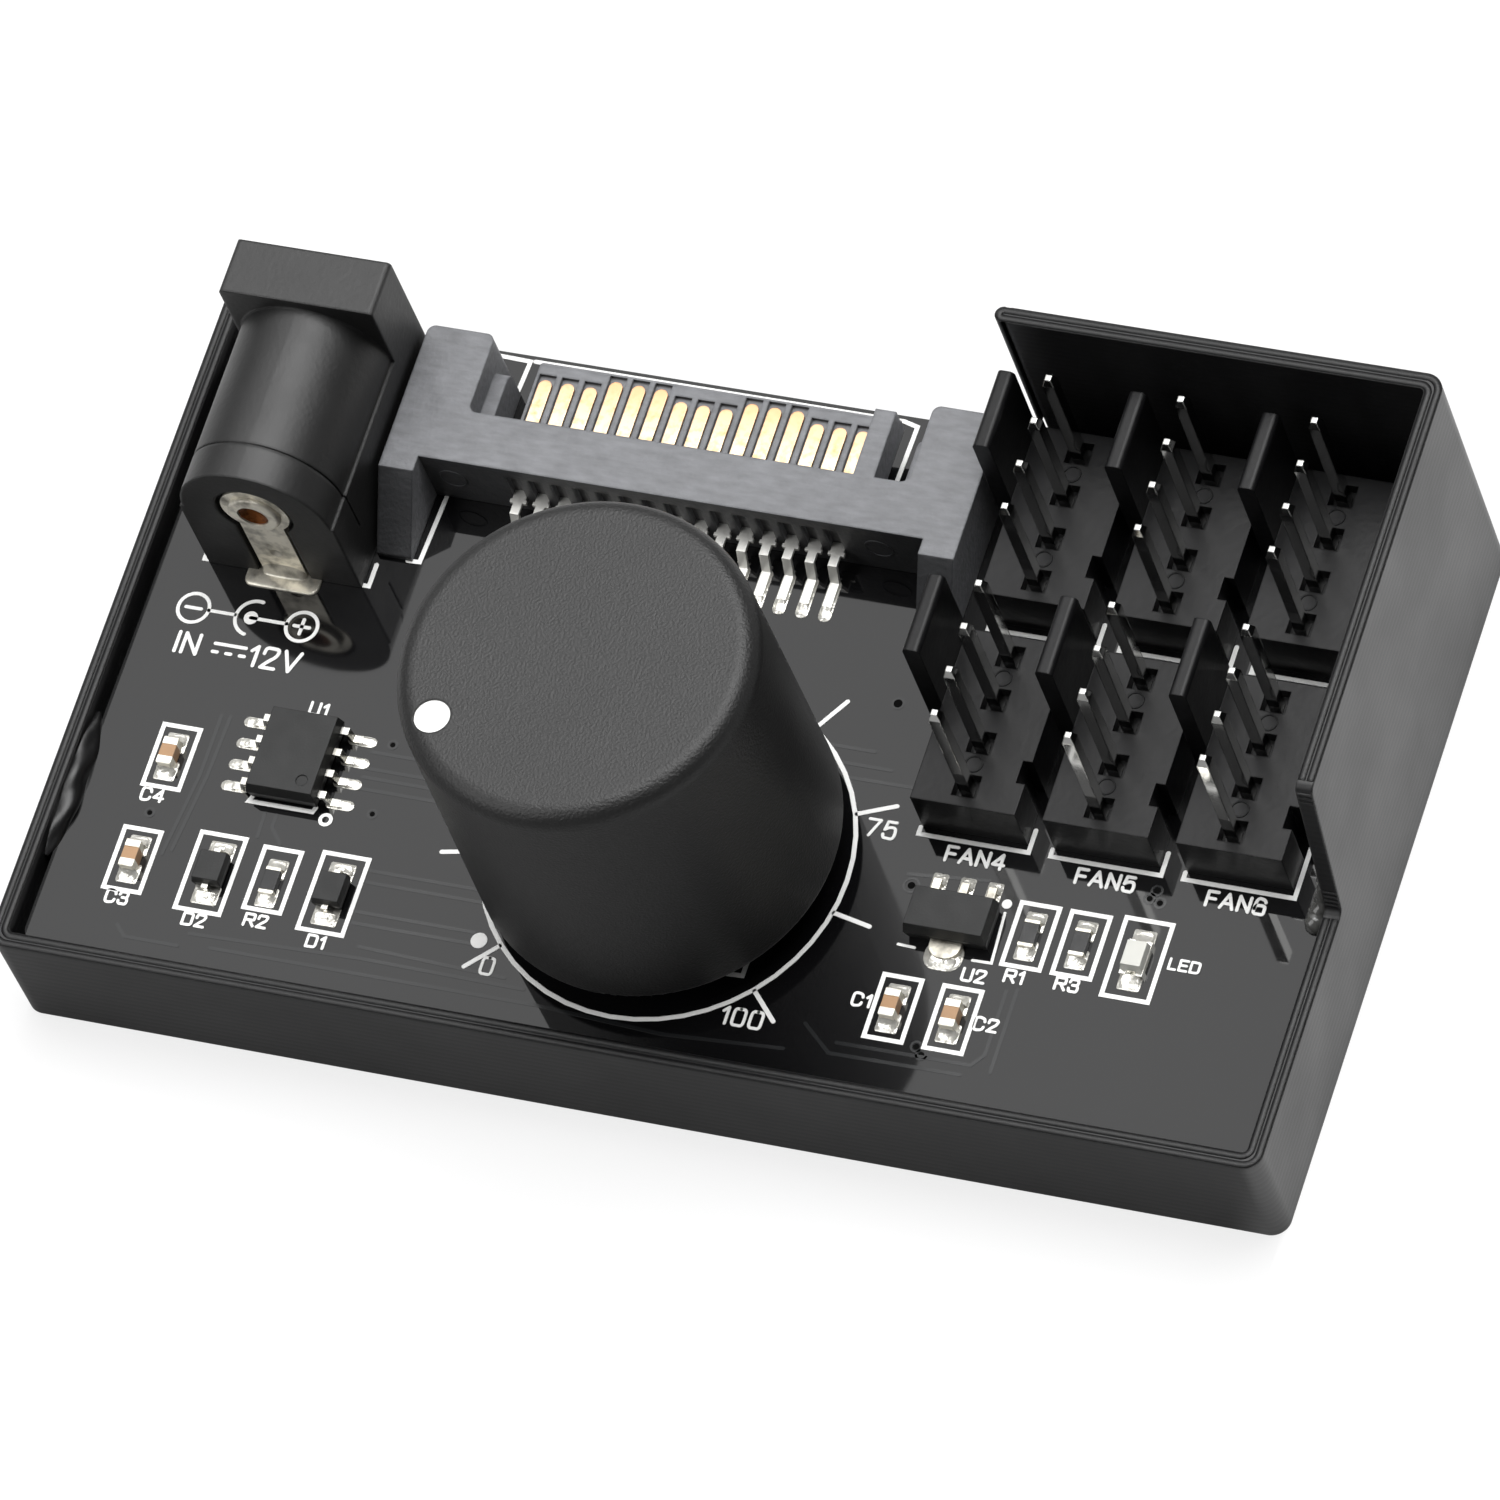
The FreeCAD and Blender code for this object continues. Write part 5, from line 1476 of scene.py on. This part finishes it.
@dataclass
class HeaderBay:
    """Fan headers: finishes and the round ejector marks on their bases.

    Attributes:
        base_height: Height of a base's top over its foot.
        pin_side: Side of a square pin.
        mark_radius: Radius of a mark.
        mark_ridge: Width of its ridge.
        mark_height: Height of its ridge.
    """

    base_height: float = 3.1
    pin_side: float = 0.64
    mark_radius: float = 0.45
    mark_ridge: float = 0.09
    mark_height: float = 0.05

    def build(self) -> None:
        """Dresses headers and pins and makes the marks."""
        marks = []
        for number in range(1, 7):
            dress(HEADER_BLACK, f"fan_header_{number}")
            dress(PIN_TIN, f"fan_header_pins_{number}")
            top = DATUM.node_box(f"fan_header_{number}")[0][2] + self.base_height
            low, high = DATUM.node_box(f"fan_header_pins_{number}")
            pitch = (high[1] - low[1] - self.pin_side) / 3
            ring = ribbon(arc(self.mark_radius, 0, 345, 24), self.mark_ridge, self.mark_height, True)
            for gap in (0.5, 2.5):
                y = low[1] + self.pin_side / 2 + gap * pitch
                marks.append(ring.moved((low[0] + high[0]) / 2, y, top))
        make_piece("header_ejector_marks", Surface.joined(marks), HEADER_BLACK)


@dataclass
class Inlets:
    """Barrel jack and drive plug.

    Attributes:
        rivet_floor: Depth of the rivet hole's floor behind the pin's front end.
        rivet_profile: Radius and height of the rings of the browned floor.
        plug_front: The plug's front face in Y.
        mark_radius: Radius of an ejector mark on that face.
        mark_ridge: Width and height of its ridge.
        mark_places: Its places in X.
        mark_level: Its height over the board.
    """

    rivet_floor: float = 0.62
    rivet_profile: tuple[tuple[float, float], ...] = ((0.84, 0.0), (0.84, 0.5), (0.8, 0.55), (0.35, 0.2),
                                                      (0.1, 0.15))
    plug_front: float = 17.95
    mark_radius: float = 0.75
    mark_ridge: tuple[float, float] = (0.1, 0.04)
    mark_places: tuple[float, ...] = (-17.4, 6.4)
    mark_level: float = 2.1

    def plug_marks(self) -> Surface:
        """Two round ejector marks on the plug's front face: rings stood upright."""
        ring = ribbon(circle(self.mark_radius), *self.mark_ridge, True).upright()
        return Surface.joined([ring.moved(x, self.plug_front, self.mark_level) for x in self.mark_places])

    def build(self) -> None:
        """Dresses both inlets and makes the browned floor of the rivet hole."""
        dress(JACK_BLACK, "dc_jack_housing")
        dress(BRIGHT_TIN, "dc_jack_sleeve_spring", "dc_jack_switch_terminal")
        dress(MATT_TIN, "dc_jack_center_pin", "dc_jack_pin_terminal")
        dress(PLUG_GREY, "sata_plug_housing")
        dress(CONTACT_PLATE, "sata_plug_contacts")
        x, _, z = DATUM.middle("dc_jack_center_pin")
        front = DATUM.node_box("dc_jack_center_pin")[0][1]
        floor = loft(circle(1.0, 32), self.rivet_profile).upright().moved(x, front + self.rivet_floor, z)
        make_piece("jack_rivet_bore", floor, BROWNED_COPPER, smooth=60.0)
        make_piece("plug_ejector_marks", self.plug_marks(), PLUG_GREY)


@dataclass
class KnobSet:
    """Knob, its dot and the potentiometer under it."""

    def build(self) -> None:
        """Dresses the knob and the pot."""
        dress(KNOB_BLACK, "knob")
        dress(WHITE_INK, "knob_pointer_dot")
        dress(EPOXY_BLACK, "pot_shaft")
        dress(SPRING_BRASS, "pot_wiper")
        dress(CARBON, "pot_track")
        dress(BROWN_PHENOLIC, "pot_base")
        dress(BRIGHT_TIN, "pot_cover", "pot_terminals")


@dataclass
class SmallParts:
    """Chips, diodes, capacitors, resistors and the light."""

    def build(self) -> None:
        """Dresses them all."""
        dress(EPOXY_BLACK, "control_chip", "voltage_regulator", "diode_bodies")
        dress(BRIGHT_TIN, "control_chip_leads", "diode_leads", "led_terminals")
        dress(MATT_TIN, "voltage_regulator_leads")
        dress(TAN_CERAMIC, "capacitor_bodies")
        dress(BLACK_GLAZE, "resistor_bodies")
        dress(CAP_TIN, "capacitor_end_caps", "resistor_end_caps")
        dress(WHITE_RESIN, "led_base")
        dress(MILKY_LENS, "led_lens")


@dataclass
class Studio:
    """Pale floor, soft light and the camera at the photograph's place.

    Attributes:
        camera_mm: The camera's place.
        camera_turn: Its turn in degrees.
        lens_mm: Its focal length.
        sensor_mm: Width of its sensor.
        floor_mm: Side of the floor.
        sky: Strength of the even light.
        glow: How much of the floor glows where a reflection or the camera sees it.
        ramps: Ramps of that glow: axis, start and end in millimetres, strength at both. The first lights
            the back; the other two make a band beside the right wall.
        lamps: Name, place, side and power of each lamp.
    """

    camera_mm: tuple[float, float, float] = (238.67, -290.09, 595.63)
    camera_turn: tuple[float, float, float] = (29.862, 13.134, 17.847)
    lens_mm: float = 326.57
    sensor_mm: float = 36.0
    floor_mm: float = 3000.0
    sky: float = 0.1
    glow: float = 0.75
    ramps: tuple[tuple[str, float, float, float, float], ...] = (
        ("Y", -30.0, 20.0, 0.15, 1.0),
        ("X", 30.0, 37.0, 0.0, 1.4),
        ("X", 55.0, 85.0, 1.0, 0.05),
    )
    lamps: tuple[tuple[str, tuple[float, float, float], float, float], ...] = (
        ("back_softbox", (-305, 371, 761), 900, 4.8),
        ("top_softbox", (125, 290, 830), 660, 8.6),
        ("front_fill", (-440, -400, 560), 500, 2.8),
    )

    def camera(self) -> None:
        """Sets up the camera."""
        data = bpy.data.cameras.new("photo_camera")
        data.sensor_width = self.sensor_mm
        data.sensor_fit = "HORIZONTAL"
        data.lens = self.lens_mm
        data.clip_start = 0.01
        data.clip_end = 20.0
        camera = add_object("photo_camera", data)
        camera.location = [value * MM for value in self.camera_mm]
        camera.rotation_euler = [math.radians(value) for value in self.camera_turn]
        bpy.context.scene.camera = camera

    def floor(self) -> None:
        """Lays a white floor that keeps the shadow; reflections see it lit as the ramps say."""
        half = self.floor_mm / 2 * MM
        mesh = bpy.data.meshes.new("floor")
        corners = [(-half, -half, 0), (half, -half, 0), (half, half, 0), (-half, half, 0)]
        mesh.from_pydata(corners, [], [(0, 1, 2, 3)])
        material = bpy.data.materials.new("white_paper_floor")
        material.use_nodes = True
        tree = material.node_tree
        tree.nodes.clear()
        paper = add_node(tree, "ShaderNodeBsdfDiffuse", {"Color": srgb("#f4f4f4")})
        path = add_node(tree, "ShaderNodeLightPath")
        place = add_node(tree, "ShaderNodeTexCoord").outputs["Object"]
        axes = add_node(tree, "ShaderNodeSeparateXYZ", {0: place})
        fade, right, beyond = (
            add_node(tree, "ShaderNodeMapRange", {
                "Value": axes.outputs[axis], "From Min": start * MM, "From Max": end * MM, "To Min": low,
                "To Max": high}, interpolation_type="SMOOTHSTEP")
            for axis, start, end, low, high in self.ramps
        )
        band = add_node(tree, "ShaderNodeMath", {0: right, 1: beyond}, operation="MULTIPLY")
        lit = add_node(tree, "ShaderNodeMath", {0: fade, 1: band}, operation="MAXIMUM")
        strength = add_node(tree, "ShaderNodeMath", {
            0: lit, 1: path.outputs["Is Camera Ray"]}, operation="MAXIMUM")
        glow = add_node(tree, "ShaderNodeEmission", {"Color": (1, 1, 1, 1), "Strength": strength})
        clear = add_node(tree, "ShaderNodeMath", {
            0: path.outputs["Is Glossy Ray"], 1: path.outputs["Is Transmission Ray"]}, operation="MAXIMUM")
        seen = add_node(tree, "ShaderNodeMath", {
            0: path.outputs["Is Camera Ray"], 1: clear}, operation="MAXIMUM")
        share = add_node(tree, "ShaderNodeMath", {0: seen, 1: self.glow}, operation="MULTIPLY")
        mix = add_node(tree, "ShaderNodeMixShader", {0: share, 1: paper, 2: glow})
        add_node(tree, "ShaderNodeOutputMaterial", {"Surface": mix})
        mesh.materials.append(material)
        floor = add_object("floor", mesh)

    def lamp(self, name: str, place_mm: tuple[float, float, float], size_mm: float, power: float) -> None:
        """Hangs a square soft lamp that points at the object.

        Args:
            name: Lamp name.
            place_mm: Its place.
            size_mm: Its side.
            power: Its power in watts.
        """
        data = bpy.data.lights.new(name, "AREA")
        data.shape = "SQUARE"
        data.size = size_mm * MM
        data.energy = power
        lamp = add_object(name, data)
        x, y, z = place_mm
        lamp.location = [value * MM for value in place_mm]
        lamp.rotation_euler = (math.atan2(math.hypot(x, y), z), 0, math.atan2(y, x) + math.pi / 2)

    def world(self) -> None:
        """Surrounds the scene with even white light."""
        world = bpy.data.worlds.new("studio")
        world.use_nodes = True
        tree = world.node_tree
        tree.nodes.clear()
        light = add_node(tree, "ShaderNodeBackground", {"Color": (1, 1, 1, 1), "Strength": self.sky})
        add_node(tree, "ShaderNodeOutputWorld", {"Surface": light})
        bpy.context.scene.world = world

    def build(self) -> None:
        """Builds the studio."""
        self.camera()
        self.floor()
        self.world()
        for lamp in self.lamps:
            self.lamp(*lamp)
        bpy.context.scene.view_settings.view_transform = "Standard"


def main() -> None:
    """Builds the sub-assemblies in order."""
    logging.basicConfig(level=logging.INFO, format="%(name)s: %(message)s")
    for assembly in (Tray, BoardWork, Legend, KnobSet, Inlets, HeaderBay, SmallParts, SolderWork, Studio):
        assembly().build()


if __name__ == "__main__":
    main()
